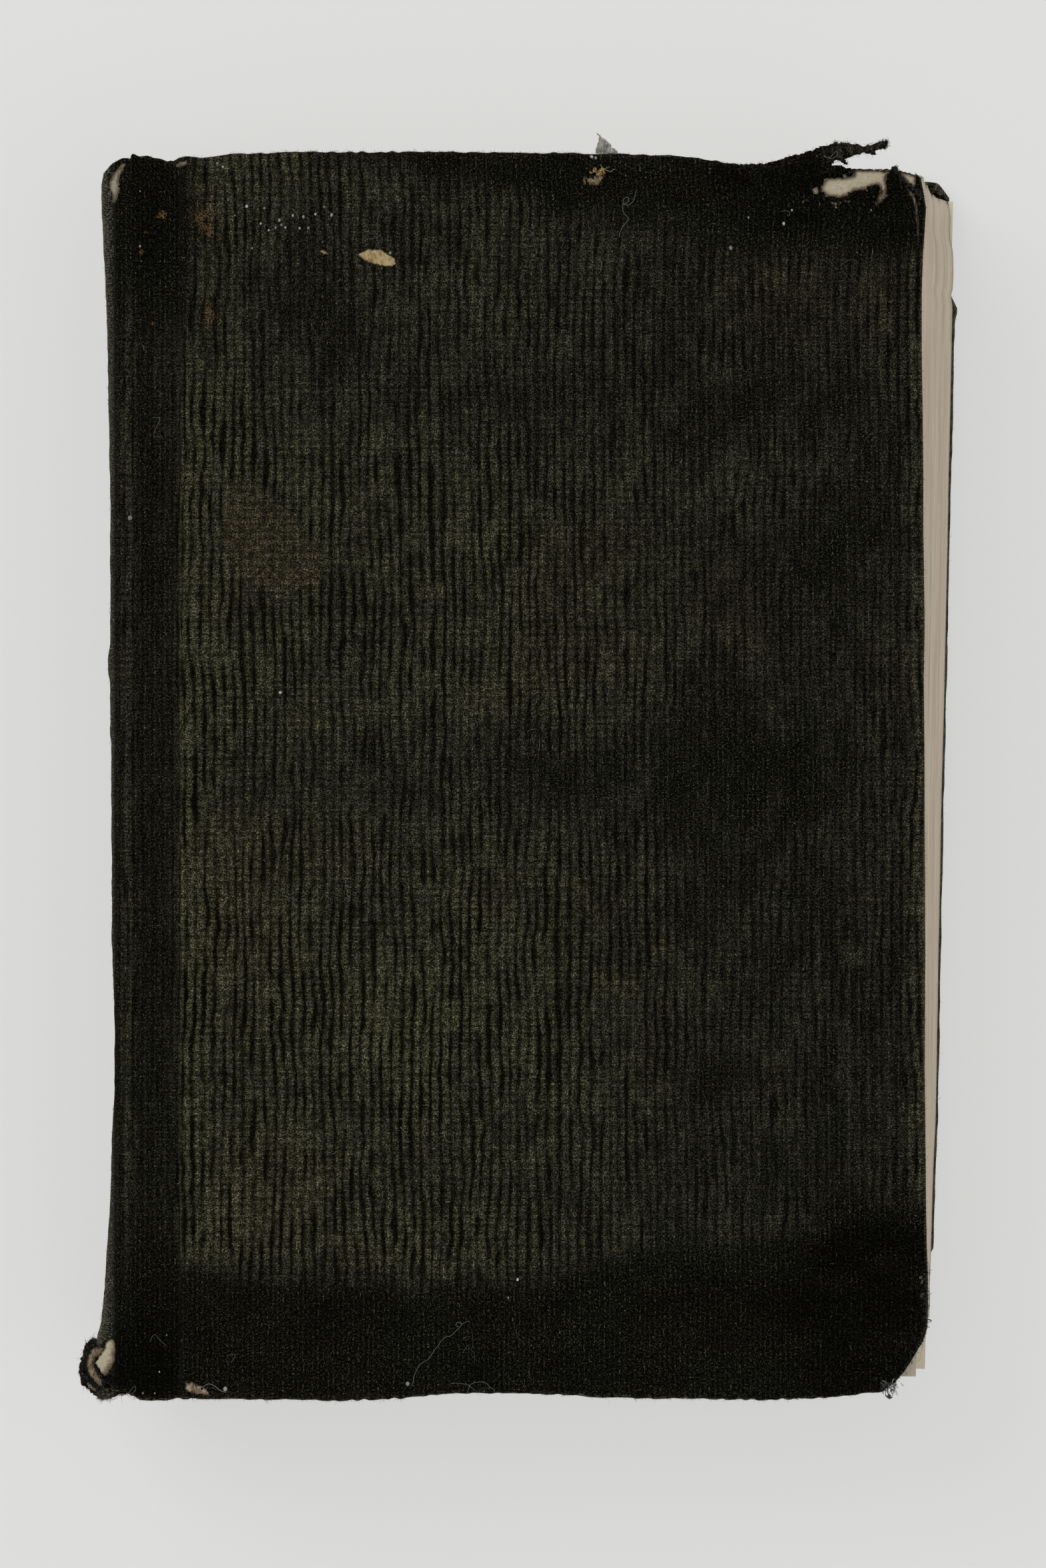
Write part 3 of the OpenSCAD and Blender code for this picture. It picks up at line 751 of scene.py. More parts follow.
# Brown stains on the spine: the middle, and the half width and half height
SPINE_STAINS = [(212, 377, 6, 9), (219, 345, 10, 6), (243, 322, 12, 9), (230, 483, 5, 6)]
SCUFF_FADE = 0.86
SCUFF_BROWN = 0.36
SCUFF_RIB = 0.42
SCUFF = np.array([
    (345, 722), (375, 719), (408, 742), (447, 775), (466, 808), (486, 838), (492, 862), (455, 884),
    (390, 880), (350, 860), (335, 800)])
# Where the groove ends and the ribs of the cover start
GROOVE_PX = 262
# How far the cloth faded from the groove to the fore-edge
FADE_ACROSS = np.array([
    (262, 0.86), (300, 0.84), (400, 0.74), (560, 0.70), (720, 0.65), (800, 0.63), (880, 0.60),
    (960, 0.555), (1040, 0.455), (1120, 0.405), (1200, 0.42), (1290, 0.425), (1335, 0.51), (1400, 0.60)])
# Where the dark bands at the head and the tail end
HEAD_BAND = np.array([
    (200, 150), (380, 205), (540, 238), (660, 272), (760, 296), (880, 322), (1000, 338), (1100, 350),
    (1250, 366), (1400, 388)])
TAIL_BAND = np.array([
    (268, 1890), (380, 1912), (500, 1912), (620, 1925), (760, 1926), (850, 1902), (960, 1872),
    (1120, 1874), (1200, 1842), (1280, 1802), (1400, 1800)])


def across_at(py, line):
    """The px of a line of pixels at py."""
    return np.interp(py, line[:, 1], line[:, 0])


def scuff_at(px, py):
    """Share of the scuffed wedge beside the groove, where the ribs are rubbed flat."""
    _, signed = nearest_on(np.stack([px.ravel(), py.ravel()], axis=1), SCUFF)
    return smooth(0.6 - signed / 16).reshape(px.shape)


def front_look(px, py):
    """Fading, from 0 for kept dye to 1, and brownness at pixels of the front cover and spine. The fading
    also carries a painted highlight on the board's edge beside the groove.
    """
    wob = 14 * soft_noise(px, py, 60, 60, 3) + 8 * soft_noise(px, py, 17, 17, 4)
    fade = np.interp(px, *FADE_ACROSS.T) + 0.06 * soft_noise(px, py, 120, 150, 5)
    fade = fade + 0.10 * soft_noise(px, py, 40, 60, 6) + 0.09 * soft_noise(px, py, 17, 26, 9)
    brown = 0.10 + 0.20 * soft_noise(px, py, 90, 90, 7)
    for mid_x, mid_y, half_w, half_h, change, tan in PATCHES:
        reach = np.hypot((px - mid_x + wob) / half_w, (py - mid_y + wob) / half_h)
        share = smooth(1.25 - reach)
        fade = fade + change * share
        brown = brown + (tan - brown) * share * 0.8
    scuffed = scuff_at(px + 0.5 * wob, py)
    fade = fade + scuffed * (SCUFF_FADE - fade)
    brown = brown + scuffed * (SCUFF_BROWN - brown)
    for mid_x, mid_y, half_w, half_h in SPINE_STAINS:
        share = smooth(1.4 - np.hypot((px - mid_x) / half_w, (py - mid_y) / half_h))
        brown = brown + (1 - brown) * share
    head = smooth((py - np.interp(px, *HEAD_BAND.T) + wob) / 80 + 0.5)
    tail = smooth((np.interp(px, *TAIL_BAND.T) - py + wob) / 75 + 0.5)
    fore = 1 - 0.30 * np.exp(-((px - 1346) / 9) ** 2) + 0.25 * smooth((px - 1362) / 14)
    floor = 0.165 + 0.08 * soft_noise(px, py, 60, 30, 10)
    floor = floor - 0.13 * (1 - tail) * smooth((px - 1090) / 160)
    floor = floor - 0.13 * (1 - head) * smooth((px - 1040) / 70)
    board = floor + (fade * fore - floor) * head * tail
    near_head = smooth((620 - py) / 240)
    spine = smooth((px - GROOVE_PX + (0.3 + 0.7 * near_head) * wob) / (14 + 34 * near_head))
    ridge = 0.34 + 0.20 * np.exp(-((px - 191) / 11) ** 2) - 0.03 * np.exp(-((px - 220) / 16) ** 2)
    flank = np.exp(-((px - 178) / 3) ** 2)
    worn_spine = ridge * (1 - 0.25 * flank) + 0.05 * soft_noise(px, py, 20, 90, 8)
    ends = smooth((2060 - py) / 280) * (0.30 + 0.70 * smooth((py - 350) / 190))
    return np.clip(board * spine + worn_spine * ends * (1 - spine), 0, 1), np.clip(brown, 0, 1)


def back_look(x, y):
    """Fading and brownness of the back cover, which the photograph doesn't show."""
    wob = 3 * soft_noise(x, y, 9, 9, 13)
    to_edge = np.minimum(FORE_X - x, HALF_H - np.abs(y))
    fade = 0.25 + 0.4 * smooth((to_edge + wob - 4) / 12) + 0.12 * soft_noise(x, y, 16, 20, 14)
    spine = smooth((x - EDGE_X + 0.5) / 1.5)
    brown = 0.25 + 0.3 * soft_noise(x, y, 12, 12, 15)
    return np.clip(fade * (0.45 + 0.55 * spine), 0, 1), np.clip(brown, 0, 1)


def rib_at(s, y, fade):
    """Height of the ribs from 0 to 1. They wander, and lie flat where the cloth hasn't faded."""
    phase = s / RIB_PITCH + 0.42 * soft_noise(s, y, 7, 22, 21) + 0.26 * soft_noise(s, y, 2.6, 6, 22)
    phase = phase + 0.16 * soft_noise(s, y, 1.3, 1.8, 24)
    rib = 0.5 + 0.5 * np.cos(2 * np.pi * phase)
    fine = 0.5 + 0.5 * np.cos(4 * np.pi * phase)
    full = smooth((fade - 0.12) / 0.35)
    patchy = 0.70 + 0.30 * soft_noise(s, y, 1.4, 2.2, 23)
    filled = 0.27 + 0.20 * soft_noise(s, y, 1.5, 4, 25)
    return full * patchy * (filled + (1 - filled) * rib) + (1 - full) * 0.55 * fine


def bulge_share(h):
    """How the bulge of the spine spreads over its height. It is fullest towards the front cover."""
    return np.where(np.abs(h - BULGE_H) < BULGE_Z, 0.5 + 0.5 * np.cos(np.pi * (h - BULGE_H) / BULGE_Z), 0)


def spine_bulge(x, y, h):
    """How far the spine stands out past its plain round, so that its edge lies where it is seen."""
    share = bulge_share(h)
    centre = leaned(x, y, h)
    target = across_at(IMAGE_H / 2 - (centre[:, :1, 1] - CAMERA_AT[1]) / PX, SPINE_EDGE)
    full = np.zeros((x.shape[0], 1))
    for _ in range(12):
        seen = to_pixel(leaned(x - share * full, y, h))[..., 0]
        full = np.clip(full + (seen.min(axis=1, keepdims=True) - target) * PX * 0.8, -0.5, 5)
    return share * full, full


def fore_of(side, nominal_y):
    """Where the cloth ends at the fore-edge of a cover, before the lean."""
    if side > 0:
        py = IMAGE_H / 2 - (nominal_y - CAMERA_AT[1]) / PX
        return from_pixel(across_at(py, FORE_EDGE), 0)[0]
    fore = FORE_X + 0 * nominal_y
    for _ in range(4):
        seen = to_pixel(leaned(fore, nominal_y, 1.2 - MID_Z + 0 * fore))
        fore = fore + (across_at(seen[..., 1], BACK_EDGE) - seen[..., 0]) * PX
    return fore + 0.06 * soft_noise(nominal_y, 0 * nominal_y, 2, 2, 31)


def ends_of(side, x, fore):
    """Where the cloth ends at the head and at the tail, before the lean."""
    if side > 0:
        px = IMAGE_W / 2 + (x - CAMERA_AT[0]) / PX
        head_y = from_pixel(0, np.interp(px, *HEAD_EDGE.T))[1]
        tail_y = from_pixel(0, np.interp(px, *TAIL_EDGE.T))[1]
        return head_y, tail_y
    to_fore = fore - x
    head_cut = 2.1 * np.clip((1.7 - to_fore) / 1.7, 0, 1) ** 1.4
    tail_cut = 9.5 * np.clip((5.4 - to_fore) / 5.4, 0, 1) ** 1.25
    head_y = HALF_H - head_cut + 0.1 * soft_noise(x, 0 * x, 8, 8, 32)
    return head_y, -HALF_H + tail_cut + 0.1 * soft_noise(x, 0 * x, 8, 8, 33)


spine_shapes = {}


def turn_in(side, grid, out, scale, skin):
    """Rings that carry the perimeter down the edges and in behind the boards, added to the skin."""
    verts, faces, cloth_at, look, dust_and_sheen = skin
    rows, cols = grid[0].shape
    loop = np.concatenate([
        np.arange(cols),
        np.arange(1, rows) * cols + cols - 1,
        (rows - 1) * cols + np.arange(cols - 2, -1, -1)])
    x, y, h, s = (a.reshape(-1)[loop] for a in grid)
    column = loop % cols
    on_board = x > EDGE_X
    zero = 0 * s
    before = loop
    for inset, depth in RINGS:
        inset_x = np.where(on_board, (COVER_W - inset) / COVER_W, 1)
        inset_y = (HALF_H - np.where(on_board, inset, min(inset, SPINE_TURN))) / HALF_H
        jag = 0.05 * soft_noise(np.arange(len(loop)), zero, 3, 1, 41 + int(10 * depth)) * (depth < 2.6)
        down = out[column] * depth * scale[column][:, None]
        ring_x = np.where(on_board, EDGE_X + (x - EDGE_X) * inset_x, x) - down[:, 0]
        ring = leaned(ring_x + jag, y * inset_y + jag, (h - down[:, 1]) * side, lean_share(h * side))
        now = len(verts) + np.arange(len(loop))
        verts = np.vstack([verts, ring])
        faces = np.vstack([faces, np.stack([before[:-1], now[:-1], now[1:], before[1:]], axis=1)])
        reach = inset + depth
        at = np.stack([s + side * reach * on_board, y * inset_y + reach, zero + 1], axis=1)
        cloth_at = np.vstack([cloth_at, at])
        fade = np.full(len(loop), 0.45 if depth < 2.4 else 0.12)
        look = np.vstack([look, np.stack([fade, zero + 0.5, zero + 0.2], axis=1)])
        dust_and_sheen = np.concatenate([dust_and_sheen, zero + (0.7 if side < 0 and depth < 2.6 else 0.1)])
        before = now
    return verts, faces, cloth_at, look, dust_and_sheen


def tear(cuts, skin):
    """Takes the cloth away inside outlines in pixels, and gives what is left a curled, thick rim."""
    verts, faces, cloth_at, look, dust_and_sheen = skin
    torn = np.zeros(len(verts), bool)
    for outline in cuts:
        seen = to_pixel(verts)
        close = ((seen > outline.min(axis=0) - 30) & (seen < outline.max(axis=0) + 30)).all(axis=1)
        spot = np.flatnonzero(close)
        near, signed = nearest_on(seen[spot], outline)
        snap = np.abs(signed) < SNAP_PX
        moved = spot[snap]
        verts[moved] = at_height(near[snap, 0], near[snap, 1], verts[moved, 2])
        signed[snap] = 0
        outside = signed >= 0
        verts[spot[outside], 2] += (CURL_H * np.exp(-np.maximum(signed, 0) / 9))[outside]
        depth = np.full(len(verts), 99.0)
        depth[spot] = signed
        faces = faces[depth[faces].mean(axis=1) >= 0]
        torn[moved] = True
    rim = rim_of(faces, len(verts))
    rim = rim[torn[rim].all(axis=1)]
    if len(rim) == 0:
        return verts, faces, cloth_at, look, dust_and_sheen
    ends = np.unique(rim)
    below = {v: len(verts) + i for i, v in enumerate(ends)}
    wall = np.array([(b, a, below[a], below[b]) for a, b in rim])
    return (
        np.vstack([verts, verts[ends] - [0, 0, RIM_D]]), np.vstack([faces, wall]),
        np.vstack([cloth_at, cloth_at[ends] + 0.3]), np.vstack([look, look[ends] * [0.4, 0.5, 1]]),
        np.concatenate([dust_and_sheen, 0 * dust_and_sheen[ends]]))


def dust_and_sheen_on(side, s, y, h, near_spine, gap, seen):
    """Pale dust on the edges, and on the side of the spine pale dust that also stands for painted sheen, from 0
    to 1.
    """
    dust_and_sheen = smooth((RIDGE_Z - 0.5 - h) / 8.0) ** 0.7 * near_spine
    dust_and_sheen = dust_and_sheen * (0.90 + 0.10 * soft_noise(s, y, 2.5, 1.6, 38) + 0.14 * soft_noise(s, y, 5, 24, 40))
    if side > 0:
        dust_and_sheen = dust_and_sheen * smooth((2036 - seen[..., 1]) / 16)
    edge_dust = 0.9 if side < 0 else 0.35 + 0.45 * smooth(0.5 - y / 40)
    rim = edge_dust * np.exp(-gap / 0.25) * (0.8 + 0.4 * soft_noise(s, y, 1, 1, 39))
    return np.clip(np.maximum(dust_and_sheen, rim), 0, 1)


def case_half(name, side, cuts=()):
    """Half of the cloth. side is 1 for the front and -1 for the back."""
    line, out, run = half_profile(side)
    cols = len(line)
    edge = np.array(EDGE_ROWS)
    rows_mm = np.concatenate([edge, np.linspace(3.5, 2 * HALF_H - 3.5, MIDDLE_ROWS), 2 * HALF_H - edge[::-1]])
    v = rows_mm / (2 * HALF_H)
    rows = len(v)
    x = np.repeat(line[None, :, 0], rows, axis=0)
    h = np.repeat(line[None, :, 1], rows, axis=0)
    s = side * np.repeat(run[None, :], rows, axis=0)
    on_board = x > EDGE_X

    # The outline that is seen
    profile_x = x
    now_y = -HALF_H + 2 * HALF_H * v[:, None] + 0 * x
    for _ in range(4):
        fore = fore_of(side, now_y)
        x = np.where(on_board, EDGE_X + (profile_x - EDGE_X) * (fore - EDGE_X) / COVER_W, profile_x)
        head_y, tail_y = ends_of(side, x, fore)
        now_y = tail_y + (head_y - tail_y) * v[:, None]
    near_spine = x < WALL_X
    if side < 0:
        near_middle = smooth((8 - h) / 8) * near_spine
        front_head, front_tail = ends_of(1, 0 * x + SPINE_X, fore)
        head_y = head_y + (front_head - head_y) * near_middle
        tail_y = tail_y + (front_tail - tail_y) * near_middle
    cap = CAP_WEAR * np.cos(np.pi / 2 * np.clip(h / RIDGE_Z, 0, 1)) ** 2 * near_spine
    turned = np.clip((RIDGE_Z - 0.5 - h) / 6.2, 0, 1)
    head_cap = CAP_WEAR * (1 - np.sqrt(1 - turned**2)) * near_spine
    fray = 0.12 * soft_noise(s, 0 * s, 0.8, 1, 34)
    head_y = head_y - (head_cap if side > 0 else cap) + fray
    tail_y = tail_y + cap + fray
    y = tail_y + (head_y - tail_y) * v[:, None]

    # Rounded edges: the cloth drops towards the perimeter
    scale = np.interp(line[:, 0], [WALL_X - 1, WALL_X + 1, EDGE_X - 1, EDGE_X + 1], [0.47, 0.30, 0.30, 1.0])
    round_r = BOARD_ROUND * np.repeat(scale[None, :], rows, axis=0)
    gap = np.minimum(np.minimum(head_y - y, y - tail_y), np.where(on_board, fore - x, 99))
    inward = np.clip(round_r - gap, 0, None)
    drop = round_r - np.sqrt(np.maximum(round_r**2 - inward**2, 0))

    # Looks, ribs and unevenness
    seen = to_pixel(leaned(x, y, h * side))
    pixels = np.moveaxis(seen, -1, 0)
    fade, brown = front_look(*pixels) if side > 0 else back_look(x, y)
    rib = rib_at(s, y, fade)
    if side > 0:
        rib = rib + 0.65 * scuff_at(*pixels) * (SCUFF_RIB - rib)
    rough = 0.05 * soft_noise(s, y, 0.5, 0.9, 36) + 0.06 * soft_noise(s, y, 5, 9, 37)
    sag = 0.10 * soft_noise(x, y, 30, 38, 38) * on_board * smooth(gap / 12)
    worn_rim = np.exp(-gap / 0.9)
    fade = np.clip(fade + 0.08 * worn_rim, 0, 1)
    dust_and_sheen = dust_and_sheen_on(side, s, y, h, near_spine, gap, seen).reshape(-1)
    lift = 2 * RIB_LIFT * (rib - 0.75) * (1 - 0.7 * worn_rim) + rough + sag - drop
    lift = np.minimum(lift, MOST_LIFT)

    if side > 0:
        bulge, spine_shapes["middle"] = spine_bulge(x, y, h)
    else:
        bulge = bulge_share(-h) * spine_shapes["middle"]
    spine = line[:, 0] < WALL_X - 0.2
    spine_shapes[side] = (x - bulge)[:, spine], y[:, spine], h[:, spine], out[spine]
    centre_x = x + out[None, :, 0] * lift - bulge
    centre_h = h + out[None, :, 1] * lift
    skin = (
        leaned(centre_x, y, centre_h * side, lean_share(h * side)).reshape(-1, 3), grid_faces(rows, cols),
        np.stack([s, y, 0 * s], axis=-1).reshape(-1, 3),
        np.stack([fade, rib, brown], axis=-1).reshape(-1, 3), dust_and_sheen)
    skin = turn_in(side, (x - bulge, y, h, s), out, scale, skin)
    verts, faces, cloth_at, look, dust_and_sheen = tear(cuts, skin)
    faces, used = compact(faces if side > 0 else faces[:, ::-1], len(verts))
    attributes = {"cloth": cloth_at[used], "look": look[used], "dust_and_sheen": dust_and_sheen[used]}
    made = build(name, verts[used], faces, cloth, attributes)
    return made


# Tears in the front cloth, as pixels
BARE_BOARD = [
    (1229, 289), (1230, 277), (1236, 268), (1244, 264.5), (1258, 265.5), (1267, 265), (1279, 263),
    (1280, 258), (1268, 254), (1262, 249), (1262, 236), (1338, 236), (1337, 250), (1336, 258), (1330, 262),
    (1328.5, 270), (1330.5, 282), (1329.5, 295), (1323, 303), (1315, 308.5), (1311, 305), (1313, 297),
    (1319, 286), (1317, 277), (1304, 280), (1298, 284), (1283, 286), (1273, 292.5), (1262, 296),
    (1256, 297), (1242, 294.5), (1235, 291.5)]
BARE_CORNER = [
    (1344, 240), (1362, 240), (1374, 250), (1372, 260), (1374.5, 270), (1372.5, 284), (1366, 281),
    (1357, 271), (1350, 262), (1345, 254)]
tears = [ragged(BARE_BOARD, 3, 0.7, 51), ragged(BARE_CORNER, 3, 0.6, 52)]

front_case = case_half("front_case_cloth", 1, tears)
back_case = case_half("back_case_cloth", -1)
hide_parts("front_cloth", "spine_cloth")
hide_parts("back_cloth")

# Pages


def gather_step(share):
    """Lean of the pages: it grows by steps from one gathering to the next."""
    steps = (np.floor(share * GATHERINGS) + 0.5) / GATHERINGS
    return 0.6 * steps + 0.4 * share


def risen(x):
    return smooth((RISE_X - x) / (RISE_X - CROWN_X))


# How far the tail fore corner is worn away, by the distance from the tail
PAGE_CORNER = np.array([
    (0, 3.0), (0.35, 2.0), (1.24, 1.05), (2.9, 0.9), (4.8, 0.4), (6.8, 0)])
# How far the fore-edge stands out from its plain round, by the place from tail to head
page_shift = {"v": np.array([0.0, 1.0]), "out": np.zeros(2)}


def page_point(u, v, w, worn=True):
    """Point of the pages: u from the fore-edge to the folds, v from tail to head, w from back to front."""
    height = HALF_PAGES * (2 * w - 1)
    part = (w * GATHERINGS) % 1
    full = 1 + SHOULDER / HALF_PAGES
    fold_tip = SPINE_X + 2.4 - ROUND_D * (1 - np.clip(height * full / SIDE_Z, -1, 1) ** 2)
    fold_tip = fold_tip + 0.55 * (1 - np.sin(np.pi * part))
    wave = 0.10 * soft_noise(PAGE_HALF_H * v * 2, height, 26, 2.5, 61)
    fore = PAGE_FORE_X - ROUND_D * (1 - (height / HALF_PAGES) ** 2) + wave
    fore = fore + np.interp(v, page_shift["v"], page_shift["out"]) * (1 - 0.65 * w)
    x = fore + (fold_tip - fore) * u
    h = height * (1 + risen(x) * SHOULDER / HALF_PAGES)
    # The leaves nearest the front cover have slid towards the head
    slid = np.minimum(2.2 * smooth((w - 0.12) / 0.28), 3.45 - 3.27 * w)
    y = PAGE_HALF_H * (2 * v - 1) + slid * v
    if worn:
        x = x - np.interp(PAGE_HALF_H * 2 * v, *PAGE_CORNER.T) * (1 - u)
    return x, y, h


def fit_fore_edge():
    """Moves the leaves out or in, so that the edge of the block lies where it is seen."""
    v, w = np.meshgrid(np.linspace(0, 1, 321), np.linspace(0, 0.6, 25), indexing="ij")
    out = np.zeros(len(v))
    for _ in range(5):
        x, y, h = page_point(0 * v, v, w, False)
        seen = to_pixel(leaned(x, y, h, gather_step(lean_share(h))))
        last = seen[..., 0].argmax(axis=1)
        rows = np.arange(len(v))
        target = across_at(seen[rows, last, 1], PAGE_EDGE)
        out = out + (target - seen[rows, last, 0]) * PX / (1 - 0.65 * w[rows, last])
        page_shift.update(v=v[:, 0], out=np.clip(out, -4.5, 1.5))


def page_block():
    fit_fore_edge()
    leaf = np.arange(2 * LEAVES + 1) / (2 * LEAVES)
    us = np.concatenate([np.linspace(0, 0.93, 30), np.linspace(0.936, 1, 15)])
    vs = np.concatenate([np.linspace(0, 0.06, 9), np.linspace(0.08, 0.87, 26), np.linspace(0.88, 1, 25)])
    random = np.random.default_rng(62)
    jog = random.normal(0, LEAF_JOG, LEAVES + 1)
    gather_jog = random.normal(0, 2 * LEAF_JOG, GATHERINGS + 1)
    verts = []
    faces = []
    leaf_at = []

    def face(u, v, w, kind, normal=(0, 0)):
        """One side of the block, as a grid whose leaves stand out or back by a hair."""
        rows, cols = u.shape
        x, y, h = page_point(u, v, w)
        number = np.clip((w * LEAVES).astype(int), 0, LEAVES)
        group = np.clip((w * GATHERINGS).astype(int), 0, GATHERINGS)
        between = np.round(w * 2 * LEAVES).astype(int) % 2 == 0
        edge = np.minimum(smooth(u / 0.004), smooth((1 - u) / 0.004)) if kind == "end" else 1
        edge_w = smooth(np.minimum(w, 1 - w) / 0.01)
        edge_v = smooth(np.minimum(v, 1 - v) / 0.02) if kind == "fore" else 1
        out = jog[number] + gather_jog[group] - LEAF_JOG * between
        out = out * edge * edge_w * edge_v if kind != "flat" else 0 * u
        x = x + normal[0] * out
        y = y + normal[1] * out
        faces.append(grid_faces(rows, cols) + sum(len(p) for p in verts))
        verts.append(leaned(x, y, h, gather_step(lean_share(h))).reshape(-1, 3))
        other = y if kind == "fore" else x
        leaf_at.append(np.stack([h, other, 0 * h + (kind == "end") * 50], axis=-1).reshape(-1, 3))

    v, w = np.meshgrid(vs, leaf, indexing="ij")
    face(0 * v, v, w, "fore", (1, 0))
    face(0 * v + 1, v, w, "fore", (-0.4, 0))
    u, w = np.meshgrid(us, leaf, indexing="ij")
    face(u, 0 * u, w, "end", (0, -1))
    face(u, 0 * u + 1, w, "end", (0, 1))
    u, v = np.meshgrid(us, vs, indexing="ij")
    face(u, v, 0 * u, "flat")
    face(u, v, 0 * u + 1, "flat")
    made = build("page_block", np.vstack(verts), np.vstack(faces), page_edges, {"leaf": np.vstack(leaf_at)})
    work = bmesh.new()
    work.from_mesh(made.data)
    bmesh.ops.remove_doubles(work, verts=work.verts, dist=1e-7)
    bmesh.ops.recalc_face_normals(work, faces=work.faces)
    work.to_mesh(made.data)
    work.free()
    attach(made, "block")
    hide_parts("text_block")


page_block()

# CAD pieces that keep their shape and get a finish


def finish_node(node, material):
    target = frame["nodes"][node]
    target.data.materials.clear()
    target.data.materials.append(material)


for node in ("front_flyleaf", "back_flyleaf", "front_pastedown", "back_pastedown"):
    finish_node(node, end_paper)
finish_node("spine_lining", lining_paper)
finish_node("mull", gauze)

# Boards and the card of the spine, cut to fit the worn cloth

BOARD_W = 98
BOARD_H = 164
BOARD_T = 2
CARD_DEPTHS = (0.42, 0.92)
CARD_SHARE = 0.988


def shares(length, count):
    """Shares of a length from 0 to 1, closer together at both ends."""
    ends = np.array([0, 0.15, 0.4])
    return np.concatenate([ends, np.linspace(0.8, length - 0.8, count - 6), length - ends[::-1]]) / length


def board_piece(name, side, node):
    rows, cols = (116, 70) if side > 0 else (64, 40)
    v, u = np.meshgrid(shares(BOARD_H, rows), shares(BOARD_W, cols), indexing="ij")
    y = -HALF_H + 2 * HALF_H * v
    for _ in range(4):
        fore = fore_of(side, y) - CLOTH_T - 0.1
        x = EDGE_X + CLOTH_T + (fore - EDGE_X - CLOTH_T) * u
        head_y, tail_y = ends_of(side, x, fore)
        head_y = head_y - CLOTH_T - 0.15
        tail_y = tail_y + CLOTH_T + 0.15
        y = tail_y + (head_y - tail_y) * v
    gap = np.minimum(np.minimum(head_y - y, y - tail_y), np.minimum(fore - x, x - EDGE_X - CLOTH_T))
    inward = np.clip(0.5 - gap, 0, None)
    drop = 0.5 - np.sqrt(np.maximum(0.25 - inward**2, 0))
    top_h = MID_Z - CLOTH_T - RIB_H - drop - 0.03 + 0.03 * soft_noise(x, y, 0.8, 0.8, 66)
    low_h = MID_Z - CLOTH_T - RIB_H - BOARD_T + 0.3 * drop
    top = leaned(x, y, top_h * side, lean_share(MID_Z * side)).reshape(-1, 3)
    low = leaned(x, y, low_h * side, lean_share(MID_Z * side)).reshape(-1, 3)
    verts, faces = with_back(top, grid_faces(rows, cols), low)
    made = build(name, verts, faces if side > 0 else faces[:, ::-1], grey_board)
    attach(made, "front_cover" if side > 0 else "back_cover")
    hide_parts(node)
    return made


def spine_card_piece():
    sheets = []
    for depth in CARD_DEPTHS:
        points = []
        for side in (1, -1):
            x, y, h, out = spine_shapes[side]
            x, y, h = (np.vstack([a[:-1:2], a[-1:]]) for a in (x, y, h))
            inner_h = (h - out[:, 1] * depth) * side
            inner = leaned(x - out[:, 0] * depth, y * CARD_SHARE, inner_h, lean_share(h * side))
            points.append(inner[:, ::-1] if side > 0 else inner[:, 1:])
        sheets.append(np.concatenate(points, axis=1))
    rows, cols = sheets[0].shape[:2]
    verts, faces = with_back(sheets[0].reshape(-1, 3), grid_faces(rows, cols), sheets[1].reshape(-1, 3))
    made = build("spine_card", verts, faces, spine_card)
    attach(made, "block")
    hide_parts("spine_inlay")


# Scraps: thin pieces cut to an outline in pixels and laid on what is under them


def cut_grid(outline, step):
    """Points of a square grid inside an outline, with the faces and the distance to the outline."""
    low = outline.min(axis=0) - step
    high = outline.max(axis=0) + step
    xs = np.arange(low[0], high[0] + step, step)
    ys = np.arange(high[1], low[1] - step, -step)
    gy, gx = np.meshgrid(ys, xs, indexing="ij")
    points = np.stack([gx.ravel(), gy.ravel()], axis=1)
    near, signed = nearest_on(points, outline)
    snap = np.abs(signed) < 0.55 * step
    points[snap] = near[snap]
    signed[snap] = 0
    faces = grid_faces(len(ys), len(xs))
    faces = faces[signed[faces].mean(axis=1) < 0]
    faces, used = compact(faces, len(points))
    return points[used], faces, -signed[used]


def with_back(top, faces, bottom):
    """Closes a sheet with a lower side and a rim."""
    count = len(top)
    rim = rim_of(faces, count)
    wall = np.stack([rim[:, 1], rim[:, 0], rim[:, 0] + count, rim[:, 1] + count], axis=1)
    return np.vstack([top, bottom]), np.vstack([faces, faces[:, ::-1] + count, wall])


def scrap(name, outline, material, trees, lift, crown, relief, step, rough, seed, body="front_cover"):
    """A scrap that lies on the surface: lift is its height at the rim, and crown what its middle adds."""
    edge = ragged(outline, 1.6 * step, rough, seed)
    points, faces, depth = cut_grid(edge, step)
    spots, normals = land(points, trees)
    domed = lift + crown * smooth(depth / (6 * step))
    domed = domed + relief * soft_noise(points[:, 0], points[:, 1], 3.5, 3.5, seed)
    top = spots + normals * domed[:, None]
    verts, faces = with_back(top, faces, spots - normals * 0.15)
    rim = np.tile(np.clip(depth * PX, 0, 1), 2)
    made = build(name, verts, faces, material, {"rim": rim})
    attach(made, body)
    return made


front_board = board_piece("front_board_worn", 1, "front_board")
board_piece("back_board_worn", -1, "back_board")
spine_card_piece()
front_tree = tree_of(front_case)
ON_CLOTH = [front_tree]
ON_BOARD = [tree_of(front_board)]
ON_ANY = ON_CLOTH + ON_BOARD


EDGE_PX = 5.5


def on_board(outline):
    """An outline kept inside the head edge of the front board."""
    points = np.array(outline, float)
    points[:, 1] = np.maximum(points[:, 1], np.interp(points[:, 0], *HEAD_EDGE.T) + EDGE_PX)
    return points


FLAKE_SIDES = 9
TUBE_SIDES = 5
STRAND_WAVE = 0.05


